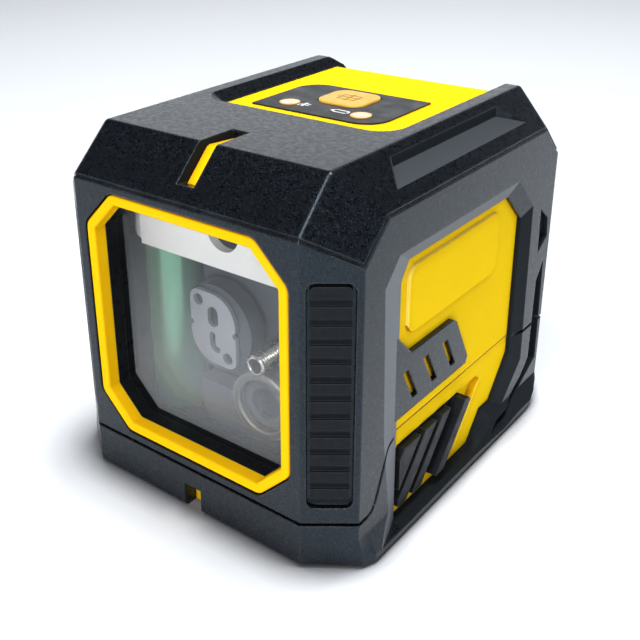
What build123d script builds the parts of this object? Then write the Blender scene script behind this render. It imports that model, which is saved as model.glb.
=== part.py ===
"""Cross line laser level: armoured housing, window, self-levelling pendulum and its lock."""
import os
from math import atan2, degrees, sqrt

from build123d import *

# Sizes are in millimetres.
# While modelling, Y runs back from the front face, X to the right and Z up from the base.

# Outer form of the body
height = 82.0
depth = 96.0
half_width = 38.8
corner_run = 9.4
corner_setback = 7.1
corner_slope_drop = 14.8
front_slope_run = 9.9
front_slope_drop = 9.7
side_slope_run = 9.7
side_slope_drop = 7.6
rear_heel_length = 18.9
rear_heel_height = 8.2
cover_round = 1.5

# Layers and joints between them
armour = 2.2
wall = 2.0
seam_radius = 0.45
seam_width = 0.8
seam_depth = 1.0
housing_seam_width = 0.4
housing_seam_depth = 0.5
front_parting = 10.9
side_parting = 23.5
parting_rise_start = 12.0
parting_rise_run = 5.2
parting_radius = 3.5

# Foot that widens the base along the cheeks
foot_spread = 2.2
foot_toe = 1.0
foot_toe_lag = 0.4
foot_toe_run = 3.4
foot_band = 2.4
foot_blend = 4.6
foot_edge = 1.0

# Window
bezel_side_margin = 2.5
bezel_top_margin = 2.2
bezel_bottom_margin = 2.3
bezel_corner = 7.9
bezel_round = 3.0
bezel_edge = 0.6
bezel_ring = 2.3
bezel_depth = 3.2
bezel_gap = 0.3
frame_wall = 2.2
frame_flange = 2.2
frame_flange_thickness = 1.5
flange_gap = 0.1
frame_lip = 1.0
frame_step_depth = 6.4
frame_step = 0.6
glass_setback = 8.8
glass_thickness = 1.6
glass_overlap = 1.2
glass_gap = 0.1

# Side panel: corners of the opening at the yellow wall and their spread out to the cheek.
# The lower corners are measured up from the base, the upper ones down from the top.
panel_step = 1.0
panel_front_foot = [(22.3, 2.2, -3.4, 0.0), (21.9, 26.0, -6.5, 0.0)]
panel_head = [
    (21.5, 23.7, -7.5, 1.7),
    (24.2, 19.8, -5.4, 3.1),
    (66.0, 19.8, 2.8, 3.1),
    (73.9, 27.4, 3.6, 2.2),
]
panel_rear_foot = [
    (74.1, 19.0, 4.6, -3.6),
    (66.3, 9.0, 3.4, -2.3),
    (61.6, 9.0, 2.3, -2.6),
    (56.0, 2.2, -1.2, 0.1),
]
pad_front = 25.4
pad_rear = 63.4
pad_top_drop = 22.2
pad_vent_gap = 4.0
pad_height = 0.8
pad_corner = 2.5
pad_edge = 0.3

# Vent tab of the armour, over the side panel
vent_rise = 1.2
vent_bottom = 27.2
vent_height = 13.8
vent_top_rear = 44.6
vent_lean = 0.55
vent_root = 21.0
vent_root_rise = 5.4
vent_root_sink = 2.2
vent_foot_cut = 1.6
vent_head_cut = 1.0
vent_slots = 3
vent_slot_first = 23.4
vent_slot_pitch = 7.9
vent_slot_width = 2.1
vent_slot_margin_bottom = 2.6
vent_slot_margin_top = 3.7

# Pockets in the rear of the cheeks
cheek_pocket_depth = 1.5
upper_cheek_pocket = [(82.2, 54.6), (86.6, 51.0), (87.3, 46.0), (82.7, 43.0)]
lower_cheek_pocket = [
    (86.6, 39.8), (83.5, 35.2), (83.2, 14.0), (79.5, 10.0), (71.0, 5.0), (65.8, 4.6), (61.6, 2.6),
    (69.0, 2.6), (71.9, 3.0), (87.6, 12.0), (87.4, 20.0),
]

# Grip strips in the front corners
grip_recess_width = 9.2
grip_recess_bottom = 14.9
grip_top_drop = 18.0
grip_recess_depth = 1.3
grip_recess_corner = 1.8
grip_margin = 0.7
grip_base = 0.7
grip_ribs = 12
grip_rib_gap = 0.5
grip_rib_slope = 1.2
grip_rib_rise = 0.6

# Pockets in the side slopes of the top cover
handle_front = 24.4
handle_rear = 73.2
handle_end_lean = 2.6
handle_top_inset = 1.8
handle_foot_inset = 6.8
handle_drop = 2.2

# Keypad recess and keypad
keypad_front = 38.2
keypad_half_width = 22.4
keypad_spread = 3.2
keypad_corner = 3.0
label_half_width = 16.7
label_front = 43.3
label_rear = 66.5
label_thickness = 0.4
label_corner = 6.0
button_width = 12.4
button_length = 11.9
button_corner = 3.4
button_y = 58.4
button_rise = 0.4
button_edge = 0.3
button_travel = 0.6
button_gap = 0.3
button_flange = 1.2
button_flange_thickness = 0.7
button_stem_radius = 2.0
lamp_x = 9.8
lamp_y = 48.5
lamp_radius = 2.4
lamp_pipe_radius = 1.5
lamp_gap = 0.1
lamp_rise = 0.15

# Alignment marks
mark_half_width = 2.2
mark_front = 2.9
mark_rear = 19.8
mark_toe_fall = 4.4
mark_depth = 3.4
notch_half_width = 2.4
notch_top = 6.3
notch_depth = 3.6
lining = 1.0
lining_gap = 0.1

# Boards and switch
board_half_width = 19.0
board_front = 42.0
board_rear = 80.0
board_thickness = 1.6
board_post_length = 5.2
board_post_x = 15.0
board_post_inset = 4.0
board_post_radius = 2.5
switch_size = 6.0
switch_height = 2.4
switch_nub = 0.3
switch_play = 0.2
led_size = 2.0
led_height = 0.9
charger_half_width = 10.0
charger_length = 13.0
charger_bottom = 36.4
ledge_width = 3.0
ledge_height = 2.0
socket_width = 9.0
socket_height = 3.2
socket_length = 7.4
socket_wall = 0.3
socket_clearance = 0.3

# Port cover at the rear
cover_width = 17.4
cover_height = 9.4
cover_thickness = 1.5
cover_gap = 0.3

# Gimbal
pin_radius = 1.0
bearing_clearance = 0.05
seat_clearance = 0.02
pitch_bearing_radius = 3.0
roll_bearing_radius = 2.5
roll_bearing_length = 2.5
ring_outer = 13.0
ring_wall = 3.0
ring_height = 5.0
pin_sink = 2.0
pin_end_inset = 0.5

# White bracket that carries the gimbal and the tops of the cells
bracket_frame_gap = 1.6
bracket_bar = 2.2
bracket_bar_drop = 13.4
bracket_post_length = 8.6
bracket_plate = 2.2
bracket_side_gap = 3.6
bracket_tail = 9.0
bracket_opening_half_width = 14.2
bracket_opening_setback = 7.0
bracket_hole_radius = 4.25
bracket_hole_drop = 5.0
pivot_drop = 7.0
arm_gap = 2.0
arm_thickness = 3.0
arm_half_length = 5.0
arm_drop = 13.0
bracket_post_x = 10.6
bracket_post_side_gap = 8.6
bracket_post_radius = 3.0

# Cells
cell_wall_gap = 3.05
cell_setback = 10.0
cell_radius = 7.25
cell_length = 50.0
cell_nib_radius = 2.6
cell_nib = 1.0
cell_crimp = 0.6
cup_clearance = 0.2
cup_wall = 1.3
cup_grip = 2.4
foot_cup_height = 6.0
contact_thickness = 0.5
contact_radius = 4.0
contact_dome = 1.7

# Pendulum
swing_room = 4.1
head_half_width = 4.5
head_half_length = 7.5
head_rise = 4.5
head_drop = 5.0
neck_half_length = 5.0
bob_drop = 9.0
bob_cell_gap = 1.55
bob_taper = 2.5
bob_half_length = 18.0
skirt_drop = 6.8
skirt_thickness = 4.0
skirt_corner = 6.0
boss_radius = 10.4
boss_rise = 5.0
weight_radius = 11.0
weight_thickness = 4.0
horizontal_module_x = 6.4
horizontal_module_rise = 4.0
horizontal_module_radius = 3.9
horizontal_module_length = 12.0
vertical_module_x = -7.6
vertical_module_rise = 14.7
vertical_module_radius = 5.0
vertical_module_length = 30.0
lens_radius = 1.5
lens_length = 6.0
lens_sink = 2.0
lens_ring_radius = 8.3
lens_ring_opening = 6.4
lens_ring_rise = 1.6
retainer_width = 13.2
retainer_height = 17.6
retainer_thickness = 1.0
retainer_round = 7.0
retainer_ear = 2.5
retainer_hole_radius = 1.4
retainer_slot = 1.4
retainer_slot_length = 5.2
retainer_slot_arm = 3.4
retainer_notch = 0.8
screw_x = 6.5
screw_drop = 3.4
screw_radius = 2.5
screw_proud = 3.5
screw_sink = 9.5
screw_socket_radius = 1.7
screw_socket_depth = 6.0

# Lock
slide_travel = 8.0
lift_travel = 1.4
lock_gap = 0.3
recess_depth = 2.0
recess_back = 1.6
recess_border = 1.5
recess_margin = 0.5
slider_front = 22.9
slider_bottom = 5.0
slider_top = 18.9
slider_top_rear = 52.4
slider_lean = 0.86
slider_corner = 1.8
slider_base = 1.5
slider_rib = 1.9
slider_ridge = 2.9
slider_ridge_length = 3.4
slider_ribs = [(24.6, 6.6), (33.4, 4.6), (40.6, 3.6)]
stem_length = 5.0
stem_height = 4.0
stem_z = 11.0
bar_cup_gap = 0.55
bar_thickness = 2.5
bar_upright = 2.2
ramp_half_width = 5.0
ramp_rise = 2.7
plunger_y = 33.0
plunger_radius = 3.0
pad_radius = 4.5
pad_thickness = 1.4
pad_gap = 0.2
guide_gap = 0.7
guide_thickness = 1.1
guide_half_length = 5.0
guide_outer = 9.5
guide_leg = 2.0
guide_overhang = 5.0
guide_clearance = 0.05

# Damper, tripod socket and fasteners
magnet_x = -11.0
magnet_y = 43.5
magnet_radius = 5.0
magnet_thickness = 3.0
magnet_post = 4.8
insert_radius = 5.0
insert_bore = 3.175
insert_bore_depth = 8.0
insert_length = 9.3
insert_boss = 2.4
insert_gap = 1.6
post_wall_gap = 2.8
post_ys = (50.0, 72.0)
post_radius = 3.0
post_rise = 14.0
post_screw_radius = 1.4
post_screw_head_radius = 2.7
post_screw_head = 2.0
post_screw_head_sink = 1.0
post_screw_grip = 8.5
fastener_clearance = 0.15
small_screw_radius = 0.9
small_screw_head_radius = 1.8
small_screw_head = 1.0
small_screw_grip = 4.0

# Places that follow from the sizes above
reach = 2 * (depth + height)
past = 1.0
level = 0.01
inset = armour + wall
panel_x = half_width - armour
inner_x = half_width - inset
floor_top = inset
ceiling = height - inset
keypad_top = height - armour
front_half_width = half_width - corner_run
top_half_width = half_width - side_slope_run
front_slope_foot = height - front_slope_drop
side_slope_foot = height - side_slope_drop
parting_rise_end = parting_rise_start + parting_rise_run
bezel_half_width = front_half_width - bezel_side_margin
bezel_bottom = front_parting + bezel_bottom_margin
bezel_top = front_slope_foot - bezel_top_margin
frame_depth = glass_setback + glass_thickness + frame_lip
vent_top = vent_bottom + vent_height
grip_recess_top = height - grip_top_drop
board_top = ceiling - board_post_length
board_bottom = board_top - board_thickness
port_z = charger_bottom + board_thickness + socket_height / 2
cover_hinge_z = port_z - cover_height / 2 + cover_thickness / 2

bracket_front = frame_depth + bracket_frame_gap
bracket_plate_top = ceiling - bracket_post_length
bracket_plate_bottom = bracket_plate_top - bracket_plate
cup_radius = cell_radius + cup_clearance
cell_x = inner_x - cell_wall_gap - cell_radius
cell_y = bracket_front + cell_setback
cell_bottom = floor_top + contact_thickness + contact_dome
cell_top = cell_bottom + cell_length

slope = lift_travel / slide_travel
bar_bottom = floor_top + lock_gap
bar_front = cell_y + cup_radius + cup_wall + bar_cup_gap
bar_rear = bar_front + stem_length
ramp_top = bar_bottom + ramp_rise
ramp_front = plunger_y - slide_travel - plunger_radius
ramp_rear = plunger_y + plunger_radius
guide_bottom = ramp_top + slope * plunger_radius + guide_gap
guide_top = guide_bottom + guide_thickness
pad_bottom = guide_top + lift_travel + pad_gap
slider_back = panel_x - recess_depth + lock_gap
slider_face = slider_back + slider_base
slider_drop = slider_top - slider_bottom
stem_end = panel_x - recess_depth - recess_back - lock_gap

pivot_y = glass_setback + glass_thickness + swing_room + screw_proud + bob_half_length
pivot_z = bracket_plate_bottom - pivot_drop
arm_inner = ring_outer + arm_gap
swing_bottom = pad_bottom + pad_thickness + lock_gap
swing_radius = pivot_z - swing_bottom
bob_front = pivot_y - bob_half_length
bob_top = pivot_z - bob_drop
bob_bottom = swing_bottom + weight_thickness
bob_top_half_width = cell_x - cell_radius - bob_cell_gap
bob_bottom_half_width = bob_top_half_width - bob_taper
horizontal_module_z = bob_bottom + horizontal_module_rise
vertical_module_z = horizontal_module_z + vertical_module_rise
screw_z = vertical_module_z - screw_drop
vertical_place = (vertical_module_x, vertical_module_z)
horizontal_place = (horizontal_module_x, horizontal_module_z)
vertical_module = (*vertical_place, vertical_module_radius, vertical_module_length)
horizontal_module = (*horizontal_place, horizontal_module_radius, horizontal_module_length)
insert_y = ramp_rear + slide_travel + insert_gap + insert_boss + insert_radius
post_x = inner_x - post_wall_gap
parts = {}


# Helpers: plates pulled along one axis from a sketch, and turned pieces along one axis

def plate_x(sketch, low, high):
    """A sketch in Y and Z, pulled from one X to another."""
    return extrude(Plane.YZ.offset(low) * sketch, amount=high - low)


def plate_y(sketch, low, high):
    """A sketch in X and Z, pulled from one Y to another."""
    return extrude(Plane.XZ.offset(-low) * sketch, amount=low - high)


def plate_z(sketch, low, high):
    """A sketch in X and Y, pulled from one Z to another."""
    return extrude(Plane.XY.offset(low) * sketch, amount=high - low)


def block(x_low, x_high, y_low, y_high, z_low, z_high):
    """A box between two corners."""
    size = (x_high - x_low, y_high - y_low, z_high - z_low)
    return Pos(x_low, y_low, z_low) * Box(*size, align=(Align.MIN, Align.MIN, Align.MIN))


def rod_x(y, z, radius, low, high):
    """A round bar along X."""
    return plate_x(Pos(y, z) * Circle(radius), low, high)


def rod_y(x, z, radius, low, high):
    """A round bar along Y."""
    return plate_y(Pos(x, z) * Circle(radius), low, high)


def rod_z(x, y, radius, low, high):
    """A round bar along Z."""
    return plate_z(Pos(x, y) * Circle(radius), low, high)


def outline(points):
    """A closed face with straight sides through the points."""
    return make_face(Polyline(*points, close=True))


def mirrored(piece):
    """The piece on the other side of the body."""
    return mirror(piece, about=Plane.YZ)


def both_sides(piece):
    """The piece and its mirror image."""
    return piece + mirrored(piece)


# Outer form: a block trimmed by sloped planes, the same for each layer of the body

def trim(solid, point, normal, depth_in):
    """Cuts off what lies outside a plane that is moved inwards."""
    outward = Vector(*normal).normalized()
    plane = Plane(origin=Vector(*point) - outward * depth_in, z_dir=outward)
    return split(solid, bisect_by=plane, keep=Keep.BOTTOM)


def trim_heel(solid, depth_in):
    """Cuts the sloped heel under the rear edge."""
    return trim(solid, (0, depth - rear_heel_length, 0), (0, rear_heel_height, -rear_heel_length), depth_in)


def envelope(depth_in):
    """The chamfered body, with every face moved inwards by the same depth."""
    side = half_width - depth_in
    solid = block(-side, side, depth_in, depth - depth_in, depth_in, height - depth_in)
    top_corner = Vector(top_half_width, front_slope_run, height)
    front_corner = Vector(front_half_width, 0, front_slope_foot)
    cheek_corner = Vector(half_width, corner_setback, height - corner_slope_drop)
    corner_normal = (front_corner - top_corner).cross(cheek_corner - top_corner)
    for hand in (-1, 1):
        side_normal = (hand * side_slope_drop, 0, side_slope_run)
        solid = trim(solid, (hand * half_width, 0, side_slope_foot), side_normal, depth_in)
    for end_y, way in ((0, 1), (depth, -1)):
        slope_normal = (0, -way * front_slope_drop, front_slope_run)
        solid = trim(solid, (0, end_y, front_slope_foot), slope_normal, depth_in)
        for hand in (-1, 1):
            upright_normal = (hand * corner_setback, -way * corner_run, 0)
            solid = trim(solid, (hand * front_half_width, end_y, 0), upright_normal, depth_in)
            corner = (hand * top_half_width, end_y + way * front_slope_run, height)
            normal = (hand * corner_normal.X, way * corner_normal.Y, corner_normal.Z)
            solid = trim(solid, corner, normal, depth_in)
    return trim_heel(solid, depth_in)


def plan(toe, toe_lag, spread):
    """The body's plan, with its corner facets and cheeks moved outwards."""
    quarter = [
        (front_half_width, 0),
        (half_width + toe, corner_setback + toe_lag),
        (half_width + spread, corner_setback + foot_toe_run),
    ]
    right = quarter + [(x, depth - y) for x, y in reversed(quarter)]
    left = [(-x, y) for x, y in reversed(right)]
    return outline(right + left)


def foot():
    """The wider foot: an upright band on the ground, drawn in to the body above it."""
    wide = plan(foot_toe, foot_toe_lag, foot_spread)
    band = plate_z(wide, 0, foot_band)
    top = Pos(0, 0, foot_band + foot_blend) * plan(0, 0, 0)
    blend = loft([Pos(0, 0, foot_band) * wide, top], ruled=True)
    return trim_heel(band + blend, 0)


def ground_edge():
    """What the chamfer round the foot of the base takes away."""
    wide = plan(foot_toe, foot_toe_lag, foot_spread)
    ground = offset(wide, -foot_edge, kind=Kind.INTERSECTION)
    kept = loft([ground, Pos(0, 0, foot_edge) * wide], ruled=True)
    return block(-reach, reach, -reach, reach, 0, foot_edge) - kept


outer = envelope(0)
middle = envelope(armour)
inner = envelope(inset)


def rounded_form():
    """The outer form, with the edges of its top and between its slopes rounded."""
    rounded = []
    for edge in outer.edges():
        faces = [face for face in outer.faces() if edge in face.edges()]
        if all(face.normal_at().Z > level for face in faces):
            rounded.append(edge)
    return fillet(rounded, cover_round)


def parting_line():
    """Side view of the line where the upper and lower halves meet."""
    low = (-foot_blend, front_parting)
    turn_low = (parting_rise_start, front_parting)
    turn_high = (parting_rise_end, side_parting)
    high = (depth + foot_blend, side_parting)
    return FilletPolyline(low, turn_low, turn_high, high, radius=parting_radius)


def lower_region():
    """All the space below the parting line."""
    line = parting_line()
    start = line @ 0
    end = line @ 1
    below = Polyline((end.X, end.Y), (end.X, -foot_blend), (start.X, -foot_blend), (start.X, start.Y))
    return plate_x(make_face(line + below), -reach, reach)


def parting_seam():
    """The shadow line that runs round the body at the parting."""
    ribbon = plate_x(trace(parting_line(), seam_width), -reach, reach)
    return ribbon & (outer - envelope(seam_depth))


def housing_seam():
    """The finer line where the two halves of the yellow housing meet."""
    ribbon = plate_x(trace(parting_line(), housing_seam_width), -reach, reach)
    return ribbon & (middle - envelope(armour + housing_seam_depth))


def cover_beads():
    """Round beads along the edges where the top cover meets the upright faces."""
    beads = []
    for edge in outer.edges():
        faces = [face for face in outer.faces() if edge in face.edges()]
        leaning = [face for face in faces if abs(face.normal_at().Z) > level]
        if len(leaning) == 1 and edge.center().Z > side_parting:
            axis = Plane(origin=edge @ 0, z_dir=edge % 0)
            along = (Align.CENTER, Align.CENTER, Align.MIN)
            beads.append(axis * Cylinder(seam_radius, edge.length, align=along))
            beads.append(Pos(*(edge @ 1)) * Sphere(seam_radius))
    return beads


def upright_band():
    """The armour's share of the upright faces, one plate behind each."""
    band = Part()
    for face in outer.faces():
        if abs(face.normal_at().Z) < level:
            band += extrude(face, amount=armour, dir=-face.normal_at())
    return band


# Openings that several pieces share

def window_face(margin):
    """The window's rounded octagon, moved outwards by a margin."""
    width = 2 * (bezel_half_width + margin)
    tall = bezel_top - bezel_bottom + 2 * margin
    rectangle = Pos(0, (bezel_top + bezel_bottom) / 2) * Rectangle(width, tall)
    octagon = chamfer(rectangle.vertices(), bezel_corner + margin * (2 - sqrt(2)))
    return fillet(octagon.vertices(), bezel_round + margin)


def panel_opening():
    """The opening over the side panel: a low wall, then a bevel that widens out past the foot."""
    bevel_x = panel_x + panel_step
    outer_x = half_width + 2 * foot_spread
    growth = (outer_x - bevel_x) / (armour - panel_step)
    head = [(y, height - drop, dy, dz) for y, drop, dy, dz in panel_head]
    corners = panel_front_foot + head + panel_rear_foot
    near = outline([(y, z) for y, z, *_ in corners])
    far = outline([(y + dy * growth, z + dz * growth) for y, z, dy, dz in corners])
    bevel = loft([Plane.YZ.offset(bevel_x) * near, Plane.YZ.offset(outer_x) * far], ruled=True)
    return bevel + plate_x(near, panel_x, bevel_x)


def cheek_pockets():
    """The two shallow pockets behind the side panel."""
    floor_x = half_width - cheek_pocket_depth
    pockets = plate_x(outline(upper_cheek_pocket), floor_x, reach)
    return pockets + plate_x(outline(lower_cheek_pocket), floor_x, reach)


def grip_plane():
    """A plane on the right corner facet, with X across it and Y up."""
    run = half_width - front_half_width
    middle_of_facet = ((front_half_width + half_width) / 2, corner_setback / 2, 0)
    return Plane(origin=middle_of_facet, x_dir=(run, corner_setback, 0), z_dir=(corner_setback, -run, 0))


def grip_recess():
    """The recess that holds a grip strip."""
    tall = grip_recess_top - grip_recess_bottom
    face = Pos(0, (grip_recess_top + grip_recess_bottom) / 2)
    face = face * RectangleRounded(grip_recess_width, tall, grip_recess_corner)
    return extrude(grip_plane().offset(-grip_recess_depth) * face, amount=reach)


def keypad_recess():
    """The recess in the top cover that shows the housing, and runs out down the rear slope."""
    lean = degrees(atan2(keypad_spread, armour))
    length = reach
    face = Pos(0, keypad_front + length / 2) * RectangleRounded(2 * keypad_half_width, length, keypad_corner)
    recess = extrude(Plane.XY.offset(keypad_top) * face, amount=armour + wall, taper=-lean)
    rear_slope = depth - front_slope_run - armour
    return recess + block(-keypad_half_width, keypad_half_width, rear_slope, depth, front_slope_foot, height)


def handle_pocket():
    """The stepped pocket in a side slope of the top cover."""
    fall = side_slope_drop / side_slope_run
    handle_top_x = top_half_width + handle_top_inset
    handle_foot_x = top_half_width + handle_foot_inset
    top_z = height - fall * handle_top_inset
    foot_z = height - fall * handle_foot_inset
    middle_y = (handle_front + handle_rear) / 2
    half = (handle_rear - handle_front) / 2
    profile = outline([
        (handle_top_x, top_z),
        (handle_top_x, top_z - handle_drop),
        (handle_foot_x, foot_z),
        (half_width, height),
    ])
    pocket = plate_y(profile, handle_front - handle_end_lean, handle_rear + handle_end_lean)
    ends = outline([
        (handle_top_x, middle_y - half + handle_end_lean),
        (handle_foot_x, middle_y - half - handle_end_lean),
        (half_width, middle_y - half - handle_end_lean),
        (half_width, middle_y + half + handle_end_lean),
        (handle_foot_x, middle_y + half + handle_end_lean),
        (handle_top_x, middle_y + half - handle_end_lean),
    ])
    return pocket & plate_z(ends, 0, reach)


def mark_space(margin):
    """The alignment slot's space, moved outwards by a margin, with a toe that leans down and back."""
    toe_z = front_slope_foot + mark_front * front_slope_drop / front_slope_run - margin
    face = outline([
        (mark_front - margin, toe_z),
        (mark_rear + margin, toe_z - mark_toe_fall),
        (mark_rear + margin, height + past),
        (mark_front - margin, height + past),
    ])
    return plate_x(face, -mark_half_width - margin, mark_half_width + margin)


def notch_space(margin, rear):
    """The space of the notch in the base, moved outwards by a margin, back to a given depth."""
    side = notch_half_width + margin
    return block(-side, side, -past, rear, -past, notch_top + margin)


def cover_face(margin):
    """Outline of the port cover in X and Z."""
    return Pos(0, port_z) * RectangleRounded(
        cover_width + 2 * margin, cover_height + 2 * margin, cover_thickness / 2 + margin)


def socket_face(margin):
    """Outline of the charging socket in X and Z."""
    size = (socket_width + 2 * margin, socket_height + 2 * margin)
    return Pos(0, port_z) * RectangleRounded(*size, socket_height / 2 + margin - socket_wall / 2)


def recess_face(margin):
    """Outline of the space that the lock slider runs in, in Y and Z."""
    rear = slider_top_rear + slide_travel
    drop = slider_top - slider_bottom
    points = [
        (slider_front - margin, slider_bottom - margin),
        (slider_front - margin, slider_top + margin - slider_corner),
        (slider_front - margin + slider_corner, slider_top + margin),
        (rear + margin - slider_corner, slider_top + margin),
        (rear + margin, slider_top + margin - slider_corner),
        (rear + margin - slider_lean * (drop - slider_corner), slider_bottom - margin),
    ]
    return outline(points)


# Armour

def build_armour():
    """Top cover, body armour and base armour."""
    shell = outer - middle
    band = upright_band()
    lower = lower_region()
    rest = shell - band
    waist = Plane.XY.offset(side_parting)
    cap = split(rest, bisect_by=waist, keep=Keep.TOP)
    sole = split(rest, bisect_by=waist, keep=Keep.BOTTOM)
    beads = cover_beads()
    line = parting_seam()
    opening = both_sides(panel_opening())
    pockets = both_sides(cheek_pockets())

    cap = (cap & rounded_form()) + (mark_space(lining) & (middle - envelope(mark_depth)))
    parts["top_cover"] = cap - beads - keypad_recess() - both_sides(handle_pocket()) - mark_space(0)

    upper_band = (band - lower) - beads - line - opening - pockets - both_sides(grip_recess())
    upper_band -= plate_y(window_face(bezel_gap), -past, armour + past)
    upper_band -= plate_y(cover_face(cover_gap), depth - cover_thickness - cover_gap, depth + past)
    upper_band -= plate_y(socket_face(socket_clearance), depth - inset, depth + past)
    parts["body_armour"] = upper_band + both_sides(vent_tab())

    lower_band = (band & lower) + sole + (foot() - middle)
    lower_band = lower_band - line - opening - pockets
    lower_band += notch_space(lining, notch_depth) & (middle - envelope(notch_depth))
    lower_band -= notch_space(0, notch_depth)
    lower_band -= notch_tongue()
    lower_band -= ground_edge()
    lower_band -= rod_z(0, insert_y, insert_radius + fastener_clearance, -past, inset)
    for x, y in post_places():
        lower_band -= rod_z(x, y, post_screw_head_radius + fastener_clearance, -past, inset)
    parts["base_armour"] = lower_band


def notch_tongue():
    """The tongue of the yellow housing that shows at the back of the front notch."""
    side = notch_half_width + lining
    return block(-side, side, notch_depth, notch_depth + wall, 0, notch_top + lining)


def vent_tab():
    """The slotted tab that reaches back from the armour over the side panel."""
    lower_rear = vent_top_rear + vent_lean * vent_height
    root = vent_root - vent_root_sink
    face = outline([
        (root, vent_bottom),
        (lower_rear - vent_foot_cut, vent_bottom),
        (lower_rear - vent_lean * vent_foot_cut, vent_bottom + vent_foot_cut),
        (vent_top_rear + vent_lean * vent_head_cut, vent_top - vent_head_cut),
        (vent_top_rear - vent_head_cut, vent_top),
        (vent_root + vent_root_rise, vent_top),
        (vent_root, vent_top + vent_root_rise),
        (root, vent_top + vent_root_rise),
    ])
    tab = plate_x(face, panel_x, panel_x + vent_rise)
    slot_bottom = vent_bottom + vent_slot_margin_bottom
    slot_top = vent_top - vent_slot_margin_top
    shift = vent_lean * (slot_top - slot_bottom)
    for index in range(vent_slots):
        start = vent_slot_first + index * vent_slot_pitch
        slot = outline([
            (start, slot_top),
            (start + vent_slot_width, slot_top),
            (start + vent_slot_width + shift, slot_bottom),
            (start + shift, slot_bottom),
        ])
        tab -= plate_x(slot, inner_x, reach)
    return tab


def post_places():
    """Where the four screws that hold the two halves together stand."""
    return [(hand * post_x, y) for hand in (-1, 1) for y in post_ys]


# Housing

def build_upper_housing():
    """Upper half of the yellow housing, with the posts that hang from its ceiling."""
    top = (middle - inner) - lower_region()
    pad_top = height - pad_top_drop
    pad_foot = vent_top + pad_vent_gap
    pad_face = Pos((pad_front + pad_rear) / 2, (pad_foot + pad_top) / 2)
    pad_face = pad_face * RectangleRounded(pad_rear - pad_front, pad_top - pad_foot, pad_corner)
    pad = plate_x(pad_face, panel_x - wall / 2, panel_x + pad_height)
    top += both_sides(fillet(pad.faces().sort_by(Axis.X)[-1].edges(), pad_edge))
    top -= housing_seam()
    top -= mark_space(lining + lining_gap) & (middle - envelope(mark_depth + lining_gap))
    rooted = ceiling + wall / 2
    for x, y in post_places():
        top += rod_z(x, y, post_radius, side_parting, side_parting + post_rise) & middle
    for x, y in board_post_places():
        top += rod_z(x, y, board_post_radius, board_top, rooted)
    for x, y in bracket_post_places():
        top += rod_z(x, y, bracket_post_radius, bracket_plate_top, rooted)
    ledge = block(charger_half_width - ledge_width, charger_half_width, depth - inset - charger_length,
                  depth - inset + wall / 2, charger_bottom - ledge_height, charger_bottom)
    top += both_sides(ledge)
    top -= plate_y(window_face(bezel_gap), 0, inset + past)
    top -= plate_y(socket_face(socket_clearance), depth - inset - past, depth)
    top -= plate_z(Pos(0, button_y) * button_face(button_gap), ceiling - past, height)
    for x in (-lamp_x, lamp_x):
        top -= rod_z(x, lamp_y, lamp_pipe_radius + lamp_gap, ceiling - past, height)
    for x, y in post_places():
        top -= rod_z(x, y, post_screw_radius + fastener_clearance, side_parting - past,
                     side_parting + post_screw_grip + past)
    hole = small_screw_radius + fastener_clearance
    hole_depth = small_screw_grip + fastener_clearance
    for x, y in board_post_places():
        top -= rod_z(x, y, hole, board_top - past, board_top + hole_depth)
    for x, y in bracket_post_places():
        top -= rod_z(x, y, hole, bracket_plate_top - past, bracket_plate_top + hole_depth)
    parts["upper_housing"] = top


def build_lower_housing():
    """Lower half of the yellow housing, with the slider's recess and what stands on its floor."""
    lower = lower_region()
    tray = ((middle - inner) & lower) - housing_seam()
    tray -= notch_space(lining + lining_gap, notch_depth)
    tray += notch_tongue()
    rooted = floor_top - wall / 2
    for x, y in post_places():
        tray += rod_z(x, y, post_radius, rooted, side_parting) & middle
    for x in (-cell_x, cell_x):
        ring = rod_z(x, cell_y, cup_radius + cup_wall, rooted, floor_top + foot_cup_height)
        tray += ring - rod_z(x, cell_y, cup_radius, floor_top, floor_top + foot_cup_height)
    tray += rod_z(0, insert_y, insert_radius + insert_boss, rooted, insert_length)
    tray += rod_z(magnet_x, magnet_y, magnet_radius, rooted, floor_top + magnet_post)
    pan = plate_x(recess_face(recess_margin + recess_border), panel_x - recess_depth - recess_back, panel_x)
    tray += pan & middle & lower
    tray -= plate_x(recess_face(recess_margin), panel_x - recess_depth, reach)
    tray -= block(stem_end - lock_gap, panel_x, bar_front - lock_gap, bar_rear + slide_travel + lock_gap,
                  stem_z - stem_height / 2 - lock_gap, stem_z + stem_height / 2 + lock_gap)
    tray -= rod_z(0, insert_y, insert_radius + seat_clearance, 0, insert_length + past)
    head_top = post_screw_head_sink + post_screw_head
    for x, y in post_places():
        tray -= rod_z(x, y, post_screw_radius + fastener_clearance, 0, side_parting + past)
        tray -= rod_z(x, y, post_screw_head_radius + fastener_clearance, 0, head_top)
    parts["lower_housing"] = tray


def board_post_places():
    """Where the control board is screwed to the ceiling posts."""
    ys = (board_front + board_post_inset, board_rear - board_post_inset)
    return [(hand * board_post_x, y) for hand in (-1, 1) for y in ys]


def bracket_post_places():
    """Where the bracket is screwed to the ceiling posts: behind its bar, and outside its arms."""
    front_y = bracket_front + bracket_bar + small_screw_head_radius + fastener_clearance
    places = [(bracket_post_x, front_y), (inner_x - bracket_post_side_gap, pivot_y + arm_half_length)]
    return [(hand * x, y) for hand in (-1, 1) for x, y in places]


# Window

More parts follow.
